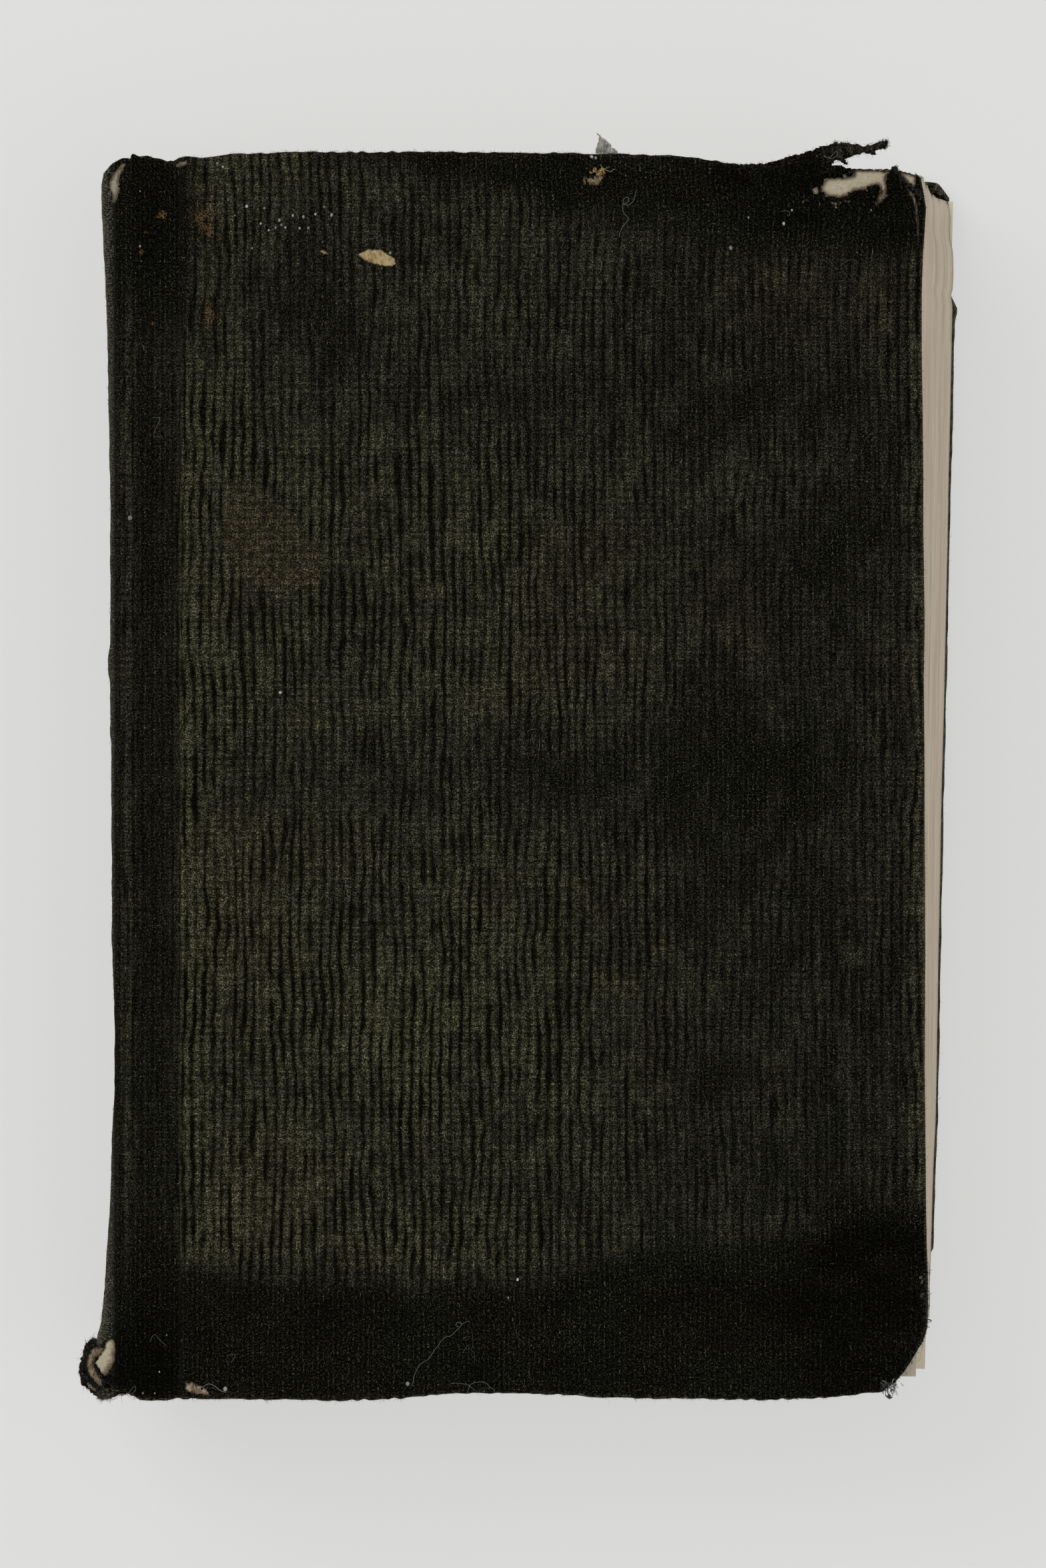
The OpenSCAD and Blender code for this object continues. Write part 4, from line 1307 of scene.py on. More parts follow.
class Heap:
    """Gathers many small pieces into one mesh, each with its own tone."""

    def __init__(self):
        self.verts = []
        self.quads = []
        self.tris = []
        self.tones = []
        self.count = 0

    def add(self, verts, quads, tris, tone):
        verts = np.asarray(verts, float).reshape(-1, 3)
        self.quads.append(np.asarray(quads) + self.count)
        self.tris.append(np.asarray(tris) + self.count)
        self.verts.append(verts)
        self.tones.append(np.broadcast_to(tone, len(verts)))
        self.count += len(verts)

    def tube(self, path, radius, tone):
        """A thread with pointed ends along a path in millimetres."""
        sides = TUBE_SIDES
        along = np.gradient(path, axis=0)
        along /= np.maximum(np.linalg.norm(along, axis=1), 1e-9)[:, None]
        across = np.cross(along, [0, 0, 1.0])
        across /= np.maximum(np.linalg.norm(across, axis=1), 1e-6)[:, None]
        up = np.cross(across, along)
        taper = np.minimum(1, np.minimum(np.arange(len(path)), np.arange(len(path))[::-1]) * 0.5 + 0.35)
        turn = np.arange(sides) * 2 * np.pi / sides
        ring = across[:, None] * np.cos(turn)[None, :, None] + up[:, None] * np.sin(turn)[None, :, None]
        verts = path[:, None] + ring * (radius * taper)[:, None, None]
        i, j = np.meshgrid(np.arange(len(path) - 1), np.arange(sides), indexing="ij")
        first = (i * sides + j).ravel()
        after = (i * sides + (j + 1) % sides).ravel()
        quads = np.stack([first, after, after + sides, first + sides], axis=1)
        last = (len(path) - 1) * sides
        tris = [(0, k + 1, k) for k in range(1, sides - 1)]
        tris += [(last, last + k, last + k + 1) for k in range(1, sides - 1)]
        self.add(verts, quads, tris, tone)

    def strand(self, points_px, radius, lift, tone, trees):
        """A thread that lies along pixels, lifted off what is under it."""
        line = catmull_rom(points_px, 5) if len(points_px) > 2 else np.array(points_px, float)
        spots, _ = land(line, trees)
        ripple = STRAND_WAVE * soft_noise(np.arange(len(line)), 0 * line[:, 0], 4, 1, 80 + len(self.verts))
        spots[:, 2] = np.convolve(np.pad(spots[:, 2], 2, "edge"), np.ones(5) / 5, "valid")
        spots[:, 2] += radius + lift + ripple
        self.tube(spots, radius, tone)

    def flake(self, point_px, half_w, half_h, thick, tone, trees, seed):
        """A small rounded crumb or dot at a pixel. Its sizes are in millimetres."""
        spot, normal = land([point_px], trees)
        k = np.arange(FLAKE_SIDES)
        turn = k * 2 * np.pi / FLAKE_SIDES
        rough = np.random.default_rng(seed).uniform(0.75, 1.15, FLAKE_SIDES)
        verts = [spot[0] + normal[0] * thick]
        for share, height in ((0.62, 0.8), (1.0, -0.1)):
            x = half_w * share * rough * np.cos(turn)
            y = half_h * share * rough * np.sin(turn)
            verts += list(spot[0] + np.stack([x, y, thick * height + 0 * x], axis=1))
        after = (k + 1) % FLAKE_SIDES
        tris = np.stack([0 * k, k + 1, after + 1], axis=1)
        quads = np.stack([k, k + FLAKE_SIDES, after + FLAKE_SIDES, after], axis=1) + 1
        self.add(verts, quads, tris, tone)

    def build(self, name, material):
        faces = [np.vstack(self.quads), np.vstack(self.tris)]
        return build(name, np.vstack(self.verts), faces, material, {"tone": np.concatenate(self.tones)})


FLAP_RIB = 0.16
FLAP_WAVE = 0.10


def cloth_flap(name, outline, height, thick, look, body, step, rough, seed, rim_drop, material=cloth):
    """A loose piece of cloth with its own height over every pixel of its outline."""
    edge = ragged(outline, 1.5 * step, rough, seed)
    points, faces, depth = cut_grid(edge, step)
    px, py = points.T
    fade, brown = look(px, py)
    dust_and_sheen = np.clip((fade - 1) / 0.4, 0, 1)
    fade = np.where(fade > 1, 0.45, fade)
    s, y = from_pixel(px, py)
    rib = rib_at(s, y, fade)
    z = height(px, py, depth) + FLAP_RIB * (rib - 0.5) + FLAP_WAVE * soft_noise(px, py, 4, 5, seed + 1)
    z = z - rim_drop * np.exp(-depth / 2.2)
    top = at_height(px, py, z)
    low = at_height(px, py, z - thick * (0.35 + 0.65 * smooth(depth / 8)))
    verts, faces = with_back(top, faces, low)
    place = np.tile(np.stack([s, y, 0 * s], axis=1), (2, 1))
    looks = np.tile(np.stack([fade, rib, brown], axis=1), (2, 1))
    made = build(name, verts, faces, material, {"cloth": place, "look": looks, "dust_and_sheen": np.tile(dust_and_sheen, 2)})
    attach(made, body)
    return made


# Bare board, worn threads, chips and stains: outline in pixels, material, what is under it, lift, crown,
# relief, step, roughness of the outline and seed

SPOTS = [
    [(1241, 299), (1262, 301), (1258, 308), (1254, 317), (1249, 315), (1245, 309)],
    [(1266, 300), (1273, 299), (1279, 307), (1275, 315), (1270, 309)],
    [(1288, 299), (1297, 300), (1297, 311), (1292, 312)], [(1200, 303), (1212, 299), (1214, 309), (1204, 312)],
    [(1225, 302), (1233, 300), (1232, 309), (1226, 311)],
    [(1375, 1902), (1384, 1901), (1385, 1926), (1378, 1925)],
    [(1378, 1928), (1385, 1930), (1385, 1952), (1379, 1948)],
]
SCRAPS = [
    ("bare_front_board", on_board(BARE_BOARD), bare_board, ON_BOARD, 0.08, 0.12, 0.10, 2.0, 0.8, 72),
    ("bare_front_corner", on_board(BARE_CORNER), bare_board, ON_BOARD, 0.1, 0.12, 0.06, 1.5, 0.5, 73),
    ("torn_rim", on_board([
        (1268, 254), (1262, 249), (1262, 246.5), (1290, 246.5), (1338, 248.5), (1338, 257), (1326, 257),
        (1311, 254), (1290, 252.5), (1280, 258), (1279, 262)]),
     worn_thread, ON_BOARD, 0.22, 0.1, 0.08, 1.5, 0.6, 74),
    ("left_chip", [(1217.6, 283), (1224.3, 280), (1226.8, 286), (1226, 291.5), (1219.5, 290.5)],
     bare_board, ON_CLOTH, 0.08, 0.05, 0.05, 1.2, 0.5, 75),
    ("tan_wedge", [
        (1322, 279), (1331, 282), (1330, 295), (1323, 303), (1315, 309), (1311, 305), (1313, 297), (1319, 286)],
     worn_thread, ON_ANY, 0.1, 0.12, 0.08, 1.2, 0.6, 76),
    ("tan_streak", [
        (1359, 282), (1366, 286), (1371, 290), (1375, 305), (1377, 324), (1378, 345), (1377, 366), (1374, 345),
        (1372, 315), (1366, 297)],
     worn_thread, ON_CLOTH, 0.06, 0.08, 0.06, 1.2, 0.6, 77),
    *((f"worn_spot_{number}", outline, worn_thread, ON_CLOTH, -0.04, 0.12, 0.12, 1.2, 1.4, 100 + number)
      for number, outline in enumerate(SPOTS)),
    ("spine_crescent", [
        (184, 244), (189, 247.5), (184, 256.5), (180, 265), (179, 276), (180, 282), (177, 293), (173, 305.5),
        (170, 304), (169, 293), (164.5, 287), (164, 273), (170, 262), (177, 252)],
     frayed_board, ON_CLOTH, 0.02, 0.12, 0.08, 1.4, 0.6, 120, "block"),
    ("head_chip", [(264, 248), (268, 243), (278, 240), (282.5, 241), (280, 247), (271, 250), (265, 251.5)],
     frayed_board, ON_CLOTH, 0.02, 0.1, 0.06, 1.2, 0.6, 121),
    ("tan_chip", [
        (534, 382), (551, 374), (571, 374), (592, 387), (595, 396), (587, 400), (567, 398), (550, 392)],
     dried_paste, ON_CLOTH, 0.05, 0.10, 0.05, 1.5, 0.6, 122),
    ("small_chip", [(477, 377), (484, 374), (495, 381), (488, 382)],
     dried_paste, ON_CLOTH, 0.05, 0.06, 0.03, 1.0, 0.3, 123),
    ("speckled_patch", [
        (873.5, 265.5), (880.5, 263), (902, 262), (909, 264), (902, 273), (897, 279), (885.5, 277), (875, 279)],
     worn_thread, ON_CLOTH, 0.0, 0.1, 0.12, 1.2, 1.0, 124),
    ("orange_smear", [
        (884, 258), (890.5, 252.5), (901, 249), (908, 254), (907, 261.5), (898, 263), (885.5, 263)],
     stain, ON_CLOTH, 0.0, 0.1, 0.10, 1.2, 1.0, 125),
    ("tail_patch", [
        (276.5, 2069.5), (286.5, 2070.5), (295.5, 2074), (309.5, 2081), (317, 2088), (315, 2094.5),
        (300.5, 2092), (286.5, 2088), (277.5, 2083)],
     worn_thread, ON_CLOTH, 0.02, 0.1, 0.08, 1.4, 0.6, 126),
]
for row in SCRAPS:
    scrap(*row)

# Loose strip at the head

TONGUE = [
    (1110, 246.5), (1120, 246), (1149, 244.5), (1162, 241.5), (1185, 233), (1206, 229), (1216, 225.5),
    (1227, 221.5), (1235, 218.5), (1242, 217.5), (1252, 214.5), (1267, 214), (1279, 216), (1290, 217.5),
    (1298, 218.5), (1311, 215), (1323, 211.5), (1330, 210.5), (1332, 214), (1330, 218.5), (1326, 222.5),
    (1313, 226), (1311, 228), (1313, 233), (1304, 231), (1296, 229), (1283, 232), (1273, 236), (1268, 239),
    (1271, 246), (1267, 247), (1260, 241), (1253, 239.5), (1247, 246), (1248, 258), (1200, 262),
    (1110, 258)]


def tongue_height(px, py, depth):
    along = np.clip((px - 1140) / 190, 0, 1)
    dome = 0.5 * np.sin(np.clip(depth / 9, 0, 1) * np.pi / 2) * smooth(px / 20 - 59)
    return TOP_Z - 0.30 + 1.9 * along**1.5 + dome


def tongue_look(px, py):
    fray = smooth((px - 1225) / 40)
    return np.clip(0.10 + 0.42 * fray + 0.2 * soft_noise(px, py, 9, 6, 91), 0, 1), 0.2 + 0 * px


tongue = cloth_flap("loose_strip", TONGUE, tongue_height, 0.35, tongue_look, "front_cover", 1.6, 0.8, 92, 0.35)

# Worn tail of the spine: the cap is crushed and its layers show

EAR = [
    (172, 2003), (143.5, 2006), (136.5, 2007), (129, 2011.5), (126.5, 2017), (124, 2027.5), (122, 2040),
    (118.5, 2049), (117, 2056), (119.5, 2065), (122, 2076), (129, 2080), (136.5, 2086.5), (143.5, 2092),
    (152.5, 2098), (161.5, 2096.5), (170.5, 2093), (181, 2089), (190, 2088), (197, 2092), (206, 2094),
    (208, 2070), (196, 2040), (184, 2012)]


def ear_height(px, py, depth):
    roll = 12.5 + 10.3 * smooth((px - 118) / 62)
    dome = 2.6 * np.sqrt(np.clip(1 - (1 - np.clip(depth / 14, 0, 1)) ** 2, 0, 1)) * smooth((196 - px) / 30)
    hollow = 2.2 * np.exp(-((px - 166) / 9) ** 2 - ((py - 2073) / 8) ** 2)
    rolled_rim = 0.9 * np.exp(-((px - 165) / 16) ** 2 - ((py - 2091) / 4) ** 2)
    return np.minimum(roll + dome - hollow + rolled_rim, TOP_Z - 1.5)


def ear_look(px, py):
    fluffy = smooth((py - 2078) / 7) * smooth((px - 140) / 14) * smooth((212 - px) / 20)
    top_strip = smooth((2016 - py) / 8)
    # Darker in the hollow of the crushed cap: painted shade, carried as cloth that kept its dye
    hollow = np.exp(-((px - 167) / 12) ** 2 - ((py - 2072) / 9) ** 2)
    fade = 0.16 + 1.0 * fluffy + 0.25 * top_strip + 0.18 * soft_noise(px, py, 5, 5, 93)
    return np.clip(fade * (1 - hollow), 0, 1.4), 0.15 + 0 * px


ear = cloth_flap("crushed_cap", EAR, ear_height, 3.2, ear_look, "block", 1.6, 0.9, 94, 1.6)
ear_tree = tree_of(ear)
CREAM_LOBE = [
    (172, 2006), (175.5, 2011), (173, 2026), (172, 2040), (167, 2051), (158, 2061.5), (151.5, 2059.5),
    (145.5, 2047), (142, 2042), (149, 2033), (157, 2022), (159.5, 2015), (165, 2009)]
TAN_LOBE = [
    (142, 2018.5), (152.5, 2018.5), (157, 2022), (149, 2033), (141, 2043.5), (145.5, 2056),
    (154.5, 2070.5), (154.5, 2077.5), (149, 2079.5), (140, 2068.5), (132, 2058), (130, 2047), (133, 2031),
    (136.5, 2022)]
ON_CAP = [ear_tree]
ON_EAR = [ear_tree, front_tree]
cap_pieces = [ear] + [scrap(*row, "block") for row in (
    ("cream_lobe", CREAM_LOBE, bare_board, ON_CAP, 0.1, 0.5, 0.10, 1.4, 0.5, 140),
    ("tan_lobe", TAN_LOBE, worn_thread, ON_CAP, 0.05, 0.35, 0.10, 1.4, 0.5, 141),
    ("cream_sliver", [(130, 2068.5), (134.5, 2074), (145.5, 2083), (142, 2084.5), (133, 2078.5)],
     bare_board, ON_CAP, 0.1, 0.2, 0.05, 1.2, 0.3, 142),
    ("cream_streak", [(178, 2088), (188, 2086.5), (191, 2090), (181, 2092)],
     bare_board, ON_EAR, 0.1, 0.2, 0.05, 1.2, 0.3, 143),
)]

# Wisp of lining at the head

TAB = [
    (893.5, 229.5), (893, 223.5), (895, 217), (897.5, 210.5), (898, 205.5), (892.5, 197), (896, 200),
    (902, 206), (908.5, 210), (915, 216), (916, 221), (921, 223), (926, 228), (926, 232), (905, 233)]


def tab_height(px, py, depth):
    return TOP_Z - 0.7 + 0.9 * smooth((230 - py) / 30) + 0.3 * soft_noise(px, py, 6, 6, 95)


def tab_look(px, py):
    return 0.5 + 0 * px, 0 * px


tab = cloth_flap("head_wisp", TAB, tab_height, 0.2, tab_look, "front_cover", 1.2, 0.4, 96, 0.1, lining_wisp)

# Lint, dots of mould and loose threads

LINT = [
    (0.037, 0.55, [
        (617, 2078), (620, 2069), (620.5, 2063), (624, 2054.5), (630, 2044.5), (643, 2036), (649.5, 2026),
        (658, 2015), (661, 2010), (669.5, 2003), (674, 2003), (679, 1999), (688, 1990), (692.5, 1985),
        (688.5, 1982), (684, 1983.5), (684, 1987), (688, 1989)]),
    (0.034, 0.5, [(690, 1985), (696, 1982.5), (701, 1980), (705, 1982.5)]),
    (0.031, 0.5, [(674, 2074), (682.5, 2073), (691, 2073.5), (697.5, 2074.5), (704, 2077.5), (715, 2087)]),
    (0.034, 0.55, [
        (699, 2088.5), (702.5, 2081), (706, 2074.5), (712.5, 2072), (721, 2071), (729, 2073),
        (734, 2078.5), (741.5, 2083.5), (739, 2087.5)]),
    (0.034, 0.45, [(693.5, 2028), (697.5, 2021.5), (701, 2016.5), (703.5, 2016.5)]),
    (0.027, 0.38, [(707.5, 1993), (709, 2014.5), (706, 2023), (711.5, 2029.5), (711.5, 2044.5)]),
    (0.027, 0.38, [(774, 1988), (775.5, 2003), (782, 2010), (786.5, 2016.5)]),
    (0.034, 0.6, [(793, 2063), (796, 2066)]),
    (0.031, 0.5, [
        (225.5, 2011.5), (227.5, 2004.5), (232, 2000), (236.5, 2004.5), (242, 2010.5), (251.5, 2018.5)]),
    (0.031, 0.5, [(339, 2032), (347, 2030), (352.5, 2030), (351.5, 2034.5), (345.5, 2043.5)]),
    (0.027, 0.45, [(239, 1979), (235.5, 1987)]),
    (0.027, 0.4, [(262, 1983), (261.5, 1988), (264, 1990)]),
    (0.031, 0.75, [(297, 2080), (304, 2078.5), (312.5, 2074), (320.5, 2076.5), (331, 2084), (339, 2087)]),
    (0.034, 0.5, [(190, 2092), (199, 2079.5), (203.5, 2078.5), (202.5, 2084.5), (197, 2089)]),
    (0.041, 0.7, [(899.5, 246.5), (904, 252.5), (908, 255), (916, 257), (919.5, 254), (922.5, 253.5)]),
    (0.034, 0.65, [(907.5, 254), (909.5, 251.5), (915, 250)]),
    (0.034, 0.45, [(955.5, 246), (959, 250), (959, 256.5)]),
    (0.037, 0.55, [
        (953.5, 286), (951, 296), (949.5, 301), (943, 307), (936.5, 307), (934, 305), (935, 299),
        (939.5, 295.5), (942.5, 299), (939.5, 304.5), (934, 305.5), (933, 311.5), (935, 319), (941.5, 329),
        (933.5, 339.5), (929, 349.5), (929, 356)]),
    (0.031, 0.4, [(939, 338), (943, 341.5), (944.5, 338.5)]),
    (0.034, 0.6, [
        (1241, 236.5), (1246, 234), (1252, 227.5), (1256, 229), (1254, 234), (1247, 237.5), (1242, 237)]),
    (0.031, 0.5, [(1256, 234), (1264, 236), (1272, 243)]),
    (0.031, 0.5, [(1170, 317), (1178, 316), (1184, 319), (1182, 324), (1180, 321)]),
    (0.031, 0.5, [(228, 626), (240, 628), (230, 652), (244, 655)]),
    (0.034, 0.6, [(212, 517), (216, 520), (215, 525)]),
    (0.027, 0.4, [(1259, 398), (1268, 392), (1276, 389), (1288, 394)]),
]
lint_heap = Heap()
spine_heap = Heap()
cap_heap = Heap()
LINT_THIN = 0.78
LINT_DULL = 0.88
ON_STRIP = ON_CLOTH + [tree_of(tongue)]
CAP_PX = (208, 2000)


def heap_at(px, py):
    """The heap for a thread or dot at a pixel: the crushed cap's, the spine's or the cover's."""
    if px > GROOVE_PX:
        return lint_heap
    return cap_heap if px < CAP_PX[0] and py > CAP_PX[1] else spine_heap


for radius, tone, points in LINT:
    under = ON_EAR if points[0][0] < GROOVE_PX else ON_STRIP
    heap_at(*points[0]).strand(points, LINT_THIN * radius, 0.05, LINT_DULL * tone, under)

# Dots of mould: pixel and half width in pixels
DOTS = [
    (326, 245, 3.0), (334, 250, 2.5), (342, 300, 1.6), (370, 309, 3.2), (396, 312, 2.2), (352, 323, 2.0),
    (439, 323, 2.4), (455, 325, 2.8), (473, 321, 2.2), (497, 322, 3.4), (486, 310, 2.0), (391, 335, 2.4),
    (419, 330, 3.0), (422, 337, 2.6), (428, 341, 2.4), (413, 341, 2.2), (403, 345, 2.0), (449, 342, 2.4),
    (462, 342, 2.6), (378, 372, 1.6), (585, 379, 2.4), (776, 1918, 3.2), (762, 1945, 1.8),
    (611, 2074, 4.0), (1175, 335, 3.6), (1122, 326, 2.0), (1095, 372, 4.0), (1187, 315, 2.4),
    (1306, 315, 1.8), (420, 1038, 3.0), (210, 369, 2.2), (184, 268, 1.2), (210, 286.5, 1.4),
    (212, 391.5, 1.3), (195, 776, 4.5), (887, 235, 4.0), (893, 237, 3.0), (297, 2080, 2.4),
    (338, 2082, 4.2), (214, 2088, 2.4), (232, 2088, 1.6), (250, 2001, 1.8), (239, 2056, 1.8)]
for number, (dot_x, dot_y, half) in enumerate(DOTS):
    tone = 0.50 + 0.28 * ((number * 0.618) % 1)
    at = (dot_x, dot_y)
    heap_at(*at).flake(at, half * PX * 0.75, half * PX * 0.9, 0.12, tone, ON_EAR, 200 + number)

# Threads and short fibres where the corners and the fore-edge are frayed

STRAP = [
    (1341, 248), (1344, 254), (1350, 266), (1358, 273.5), (1369, 282), (1377, 291), (1381, 297)]
lint_heap.strand(STRAP, 0.10, 0.06, 0.15, ON_ANY)
lint_heap.strand([(1339, 251), (1342, 256), (1345, 262)], 0.20, 0.10, 0.12, ON_ANY)
FRAY = [
    (0.05, 0.62, [(1322, 2069), (1327, 2071), (1332, 2076), (1336, 2084), (1338, 2092)]),
    (0.05, 0.66, [(1340, 2065), (1338, 2070), (1336, 2077), (1334, 2086), (1333, 2094)]),
    (0.04, 0.55, [(1326, 2080), (1330, 2087), (1334, 2096)]),
    (0.04, 0.50, [(1345, 2078), (1340, 2085), (1336, 2095)]),
    (0.10, 0.28, [(1327, 2090), (1332, 2095), (1338, 2094)]),
    (0.04, 0.45, [(1350, 2072), (1353, 2076), (1355, 2077)]),
    (0.09, 0.30, [(1391, 1977), (1394, 1978), (1396.5, 1980)]),
    (0.05, 0.40, [(1389, 1983), (1393, 1981), (1396, 1981)]),
    (0.04, 0.50, [(1391, 1890), (1393.5, 1905), (1392.5, 1925)]),
    (0.04, 0.48, [(1392.5, 1930), (1393.6, 1948), (1392.6, 1968)]),
]
WORN_CORNER = np.array([
    (1391, 1905), (1391, 1960), (1390, 1991), (1384, 2011), (1372, 2032), (1358, 2055), (1342, 2074)])
tuft = np.random.default_rng(150)


def wild_fibre(foot, way, bend, thickness, lift, tones, trees, at=0.55):
    """A short curved fibre from a foot in pixels."""
    points = [foot, foot + way * at + tuft.normal(0, bend, 2), foot + way]
    lint_heap.strand(points, tuft.uniform(*thickness), lift, tuft.uniform(*tones), trees)


for _ in range(80):
    foot = np.array([1319, 2071]) + tuft.uniform(0, 1, 2) * [24, 12]
    way = tuft.normal([1.0, 6.0], [3.0, 4.0]) if foot[0] > 1326 else tuft.normal([4.0, 2.0], [3.0, 3.0])
    wild_fibre(foot, way, 0.8, (0.02, 0.05), 0.08, (0.10, 0.46), ON_CLOTH)
for _ in range(170):
    foot_y = tuft.uniform(1905, 2078)
    foot = np.array([across_at(foot_y, WORN_CORNER), foot_y])
    way = tuft.normal([2.0, 2.4] if foot_y > 1985 else [2.4, 0.5], [2.2, 2.4])
    foot = foot - [tuft.uniform(0, 8), tuft.uniform(0, 3)]
    wild_fibre(foot, way, 0.5, (0.015, 0.035), 0.06, (0.08, 0.42), ON_CLOTH)
for _ in range(60):
    share = tuft.uniform(0, 5.99)
    foot = np.array([np.interp(share, range(len(STRAP)), column) for column in zip(*STRAP)])
    foot = foot + tuft.normal(0, 2.0, 2)
    wild_fibre(foot, tuft.normal(0, 3.2, 2), 0.5, (0.015, 0.035), 0.12, (0.08, 0.42), ON_ANY, 0.6)
lint_heap.flake((1333, 2093), 0.28, 0.36, 0.25, 0.26, ON_CLOTH, 151)
for radius, tone, points in FRAY:
    lint_heap.strand(points, radius, 0.05, tone, ON_CLOTH)
for points in (
    [(1227, 274), (1227, 282), (1228, 291)], [(1276, 254), (1300, 254.5), (1318, 257), (1333, 259)],
    [(1229, 291), (1243, 298), (1256, 300), (1270, 296), (1283, 289)],
):
    lint_heap.strand(points, 0.06, 0.02, 0.08, ON_ANY)
for points in (
    [(129, 2058), (137, 2071), (149, 2082)], [(132, 2057), (140, 2070), (151, 2081)],
    [(144, 2048), (149, 2058), (155, 2066)],
):
    cap_heap.strand(points, 0.09, 0.25, 0.03, ON_CAP)
cap_lint = cap_heap.build("cap_lint", fibre)
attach(cap_lint, "block")
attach(lint_heap.build("cover_lint", fibre), "front_cover")
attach(spine_heap.build("spine_lint", fibre), "block")

# Fluff: short loose fibres all over the cloth, and along its edges


FIBRE_VERTS = 7


def vectors(data, field):
    """A field of three numbers for each point of a mesh."""
    values = np.empty(len(data) * 3)
    data.foreach_get(field, values)
    return values.reshape(-1, 3)


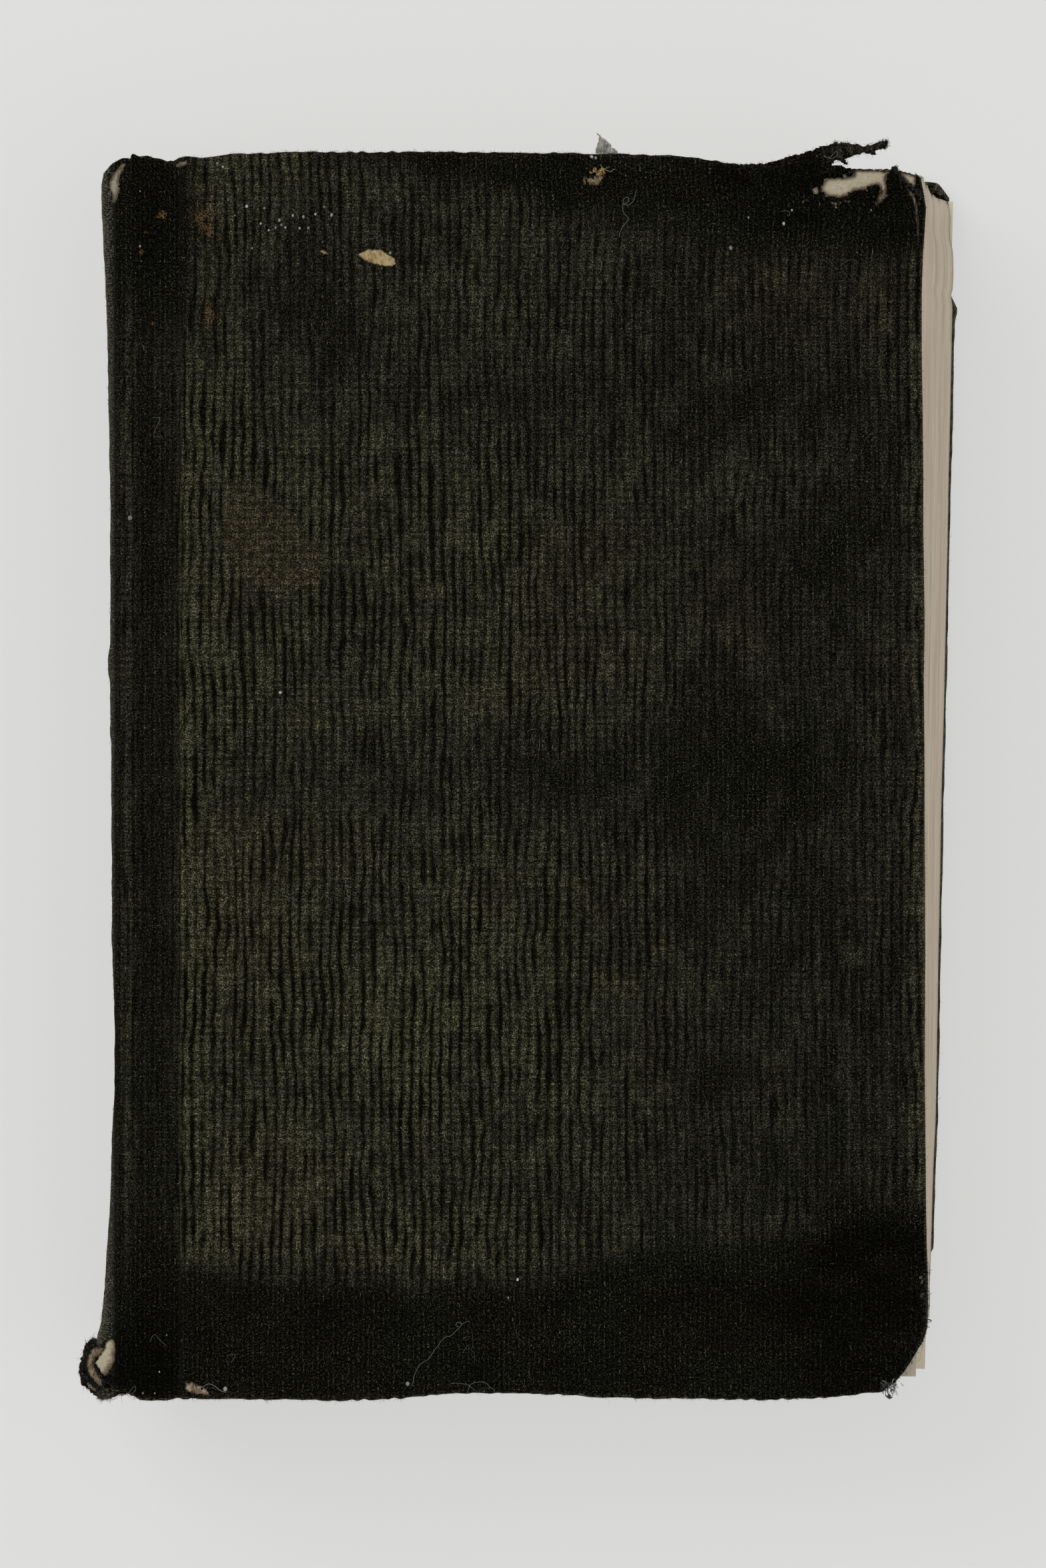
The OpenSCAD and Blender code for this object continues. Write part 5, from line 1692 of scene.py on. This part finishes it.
def fluff(name, case, count, edge_count, seed, long=0.42):
    random = np.random.default_rng(seed)
    mesh = case.data
    spots = vectors(mesh.vertices, "co") / MM
    normals = vectors(mesh.vertices, "normal")
    place, look = (vectors(mesh.attributes[key].data, "vector") for key in ("cloth", "look"))
    outer = np.flatnonzero(place[:, 2] == 0)
    heap = Heap()

    def fibres(picked, length, rise, radius, tone, push=None):
        """Fibres that lie any way, or lean the way they are pushed."""
        number = len(picked)
        normal = normals[picked]
        if push is None:
            way = random.normal(0, 1, (number, 3))
            way -= normal * (way * normal).sum(axis=1, keepdims=True)
        else:
            way = push + random.normal(0, 0.5, (number, 3))
        way /= np.linalg.norm(way, axis=1, keepdims=True)
        bend = np.cross(normal, way) * random.normal(0, 0.35, (number, 1))
        base = spots[picked] + random.normal(0, 0.09, (number, 3)) * [1, 1, 0] - normal * 0.05
        reach = length[:, None]
        middle = base + reach * 0.55 * way + normal * (rise * length)[:, None] + bend * reach * 0.4
        tip = base + reach * way + normal * (rise * length * 0.9)[:, None] + bend * reach * 1.1
        across = np.cross(way, normal)
        across /= np.maximum(np.linalg.norm(across, axis=1, keepdims=True), 1e-6)
        rings = []
        for centre, size in ((base, 1.0), (middle, 0.85)):
            for angle in (0, 2 * np.pi / 3, 4 * np.pi / 3):
                away = across * math.cos(angle) + normal * math.sin(angle)
                rings.append(centre + radius[:, None] * size * away)
        verts = np.stack(rings + [tip], axis=1)
        start = np.arange(number)[:, None] * FIBRE_VERTS
        quads = np.concatenate([start + [k, (k + 1) % 3, 3 + (k + 1) % 3, 3 + k] for k in range(3)])
        tris = np.concatenate([start + [3 + k, 3 + (k + 1) % 3, 6] for k in range(3)] + [start + [0, 2, 1]])
        heap.add(verts, quads, tris, np.repeat(tone, FIBRE_VERTS))

    faded = np.clip(look[:, 0], 0, 1)
    chance = (0.5 + faded[outer]) / (0.5 + faded[outer]).sum()
    picked = random.choice(outer, count, p=chance)
    length = long * random.lognormal(0, 0.45, count)
    tone = np.clip(0.13 + 0.16 * faded[picked] + random.gamma(2.0, 0.035, count), 0.03, 0.9)
    tone = np.clip(tone + (random.random(count) < 0.09) * random.uniform(0.12, 0.38, count), 0.03, 0.9)
    fibres(picked, length, random.uniform(0.05, 0.35, count), random.uniform(0.014, 0.030, count), tone)

    y = place[outer, 1]
    low, high = np.quantile(y, 0.002), np.quantile(y, 0.998)
    from_spine = np.abs(place[outer, 0])
    for mask, push in (
        (y > high - 0.25, (0, 1.0, 0.1)), (y < low + 0.25, (0, -1.0, 0.1)),
        (from_spine > from_spine.max() - 0.4, (1.0, 0, 0.1)),
    ):
        edge = outer[mask]
        if len(edge) == 0:
            continue
        picked = random.choice(edge, edge_count)
        length = 0.17 * random.lognormal(0, 0.5, edge_count)
        pale = 0.09 if push[1] < 0 else 0.05
        tone = np.clip(0.08 + random.gamma(2.0, pale, edge_count), 0.03, 0.8)
        rise = random.uniform(0, 0.2, edge_count)
        fibres(picked, length, rise, random.uniform(0.009, 0.020, edge_count), tone, np.array(push))
    return heap.build(name, fibre)


front_fluff = fluff("front_fluff", front_case, 15500, 1400, 301)
back_fluff = fluff("back_fluff", back_case, 3600, 450, 302)
strip_fluff = fluff("strip_fluff", tongue, 1300, 300, 303, 0.32)
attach(strip_fluff, "front_cover")
cap_fluff = fluff("cap_fluff", ear, 1600, 200, 304, 0.6)
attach(cap_fluff, "block")

# Each piece of the crushed cap gets a mesh of its own
for piece in cap_pieces + [cap_lint, cap_fluff]:
    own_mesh(piece)

# Light and table

LIGHTS = (("key", (-0.75, 0.65, 0.85), 0.9, 9.0), ("fill", (0.8, -0.3, 1.1), 1.2, 4.0))
TABLE_REACH = 4000.0
TABLE_GAP = 0.05


def make_light():
    world = bpy.data.worlds.new("studio")
    world.use_nodes = True
    sky = world.node_tree.nodes["Background"]
    sky.inputs["Color"].default_value = (0.98, 1.0, 0.985, 1)
    sky.inputs["Strength"].default_value = 0.62
    bpy.context.scene.world = world
    for name, spot, size, power in LIGHTS:
        data = bpy.data.lights.new(name, "AREA")
        data.size = size
        data.energy = power
        lamp = bpy.data.objects.new(name, data)
        lamp.location = spot
        lamp.rotation_euler = (-Vector(spot)).to_track_quat("-Z", "Y").to_euler()
        bpy.context.scene.collection.objects.link(lamp)


def make_table():
    corners = np.array([(-1, -1, 0), (1, -1, 0), (1, 1, 0), (-1, 1, 0)]) * TABLE_REACH - [0, 0, TABLE_GAP]
    build("table", corners, np.array([[0, 1, 2, 3]]), table_material())


make_light()
make_table()
bpy.context.scene.view_settings.view_transform = "Standard"

# Two points across the back groove, and the cloth and its fluff with their placement baked into their meshes

back_start, back_end = (
    Vector(leaned(np.array(x), np.array(0.0), np.array(-MID_Z))) * MM for x in (WALL_X, EDGE_X))
for piece in (front_case, front_fluff):
    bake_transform(piece)
for piece in (back_case, back_fluff):
    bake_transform(piece)
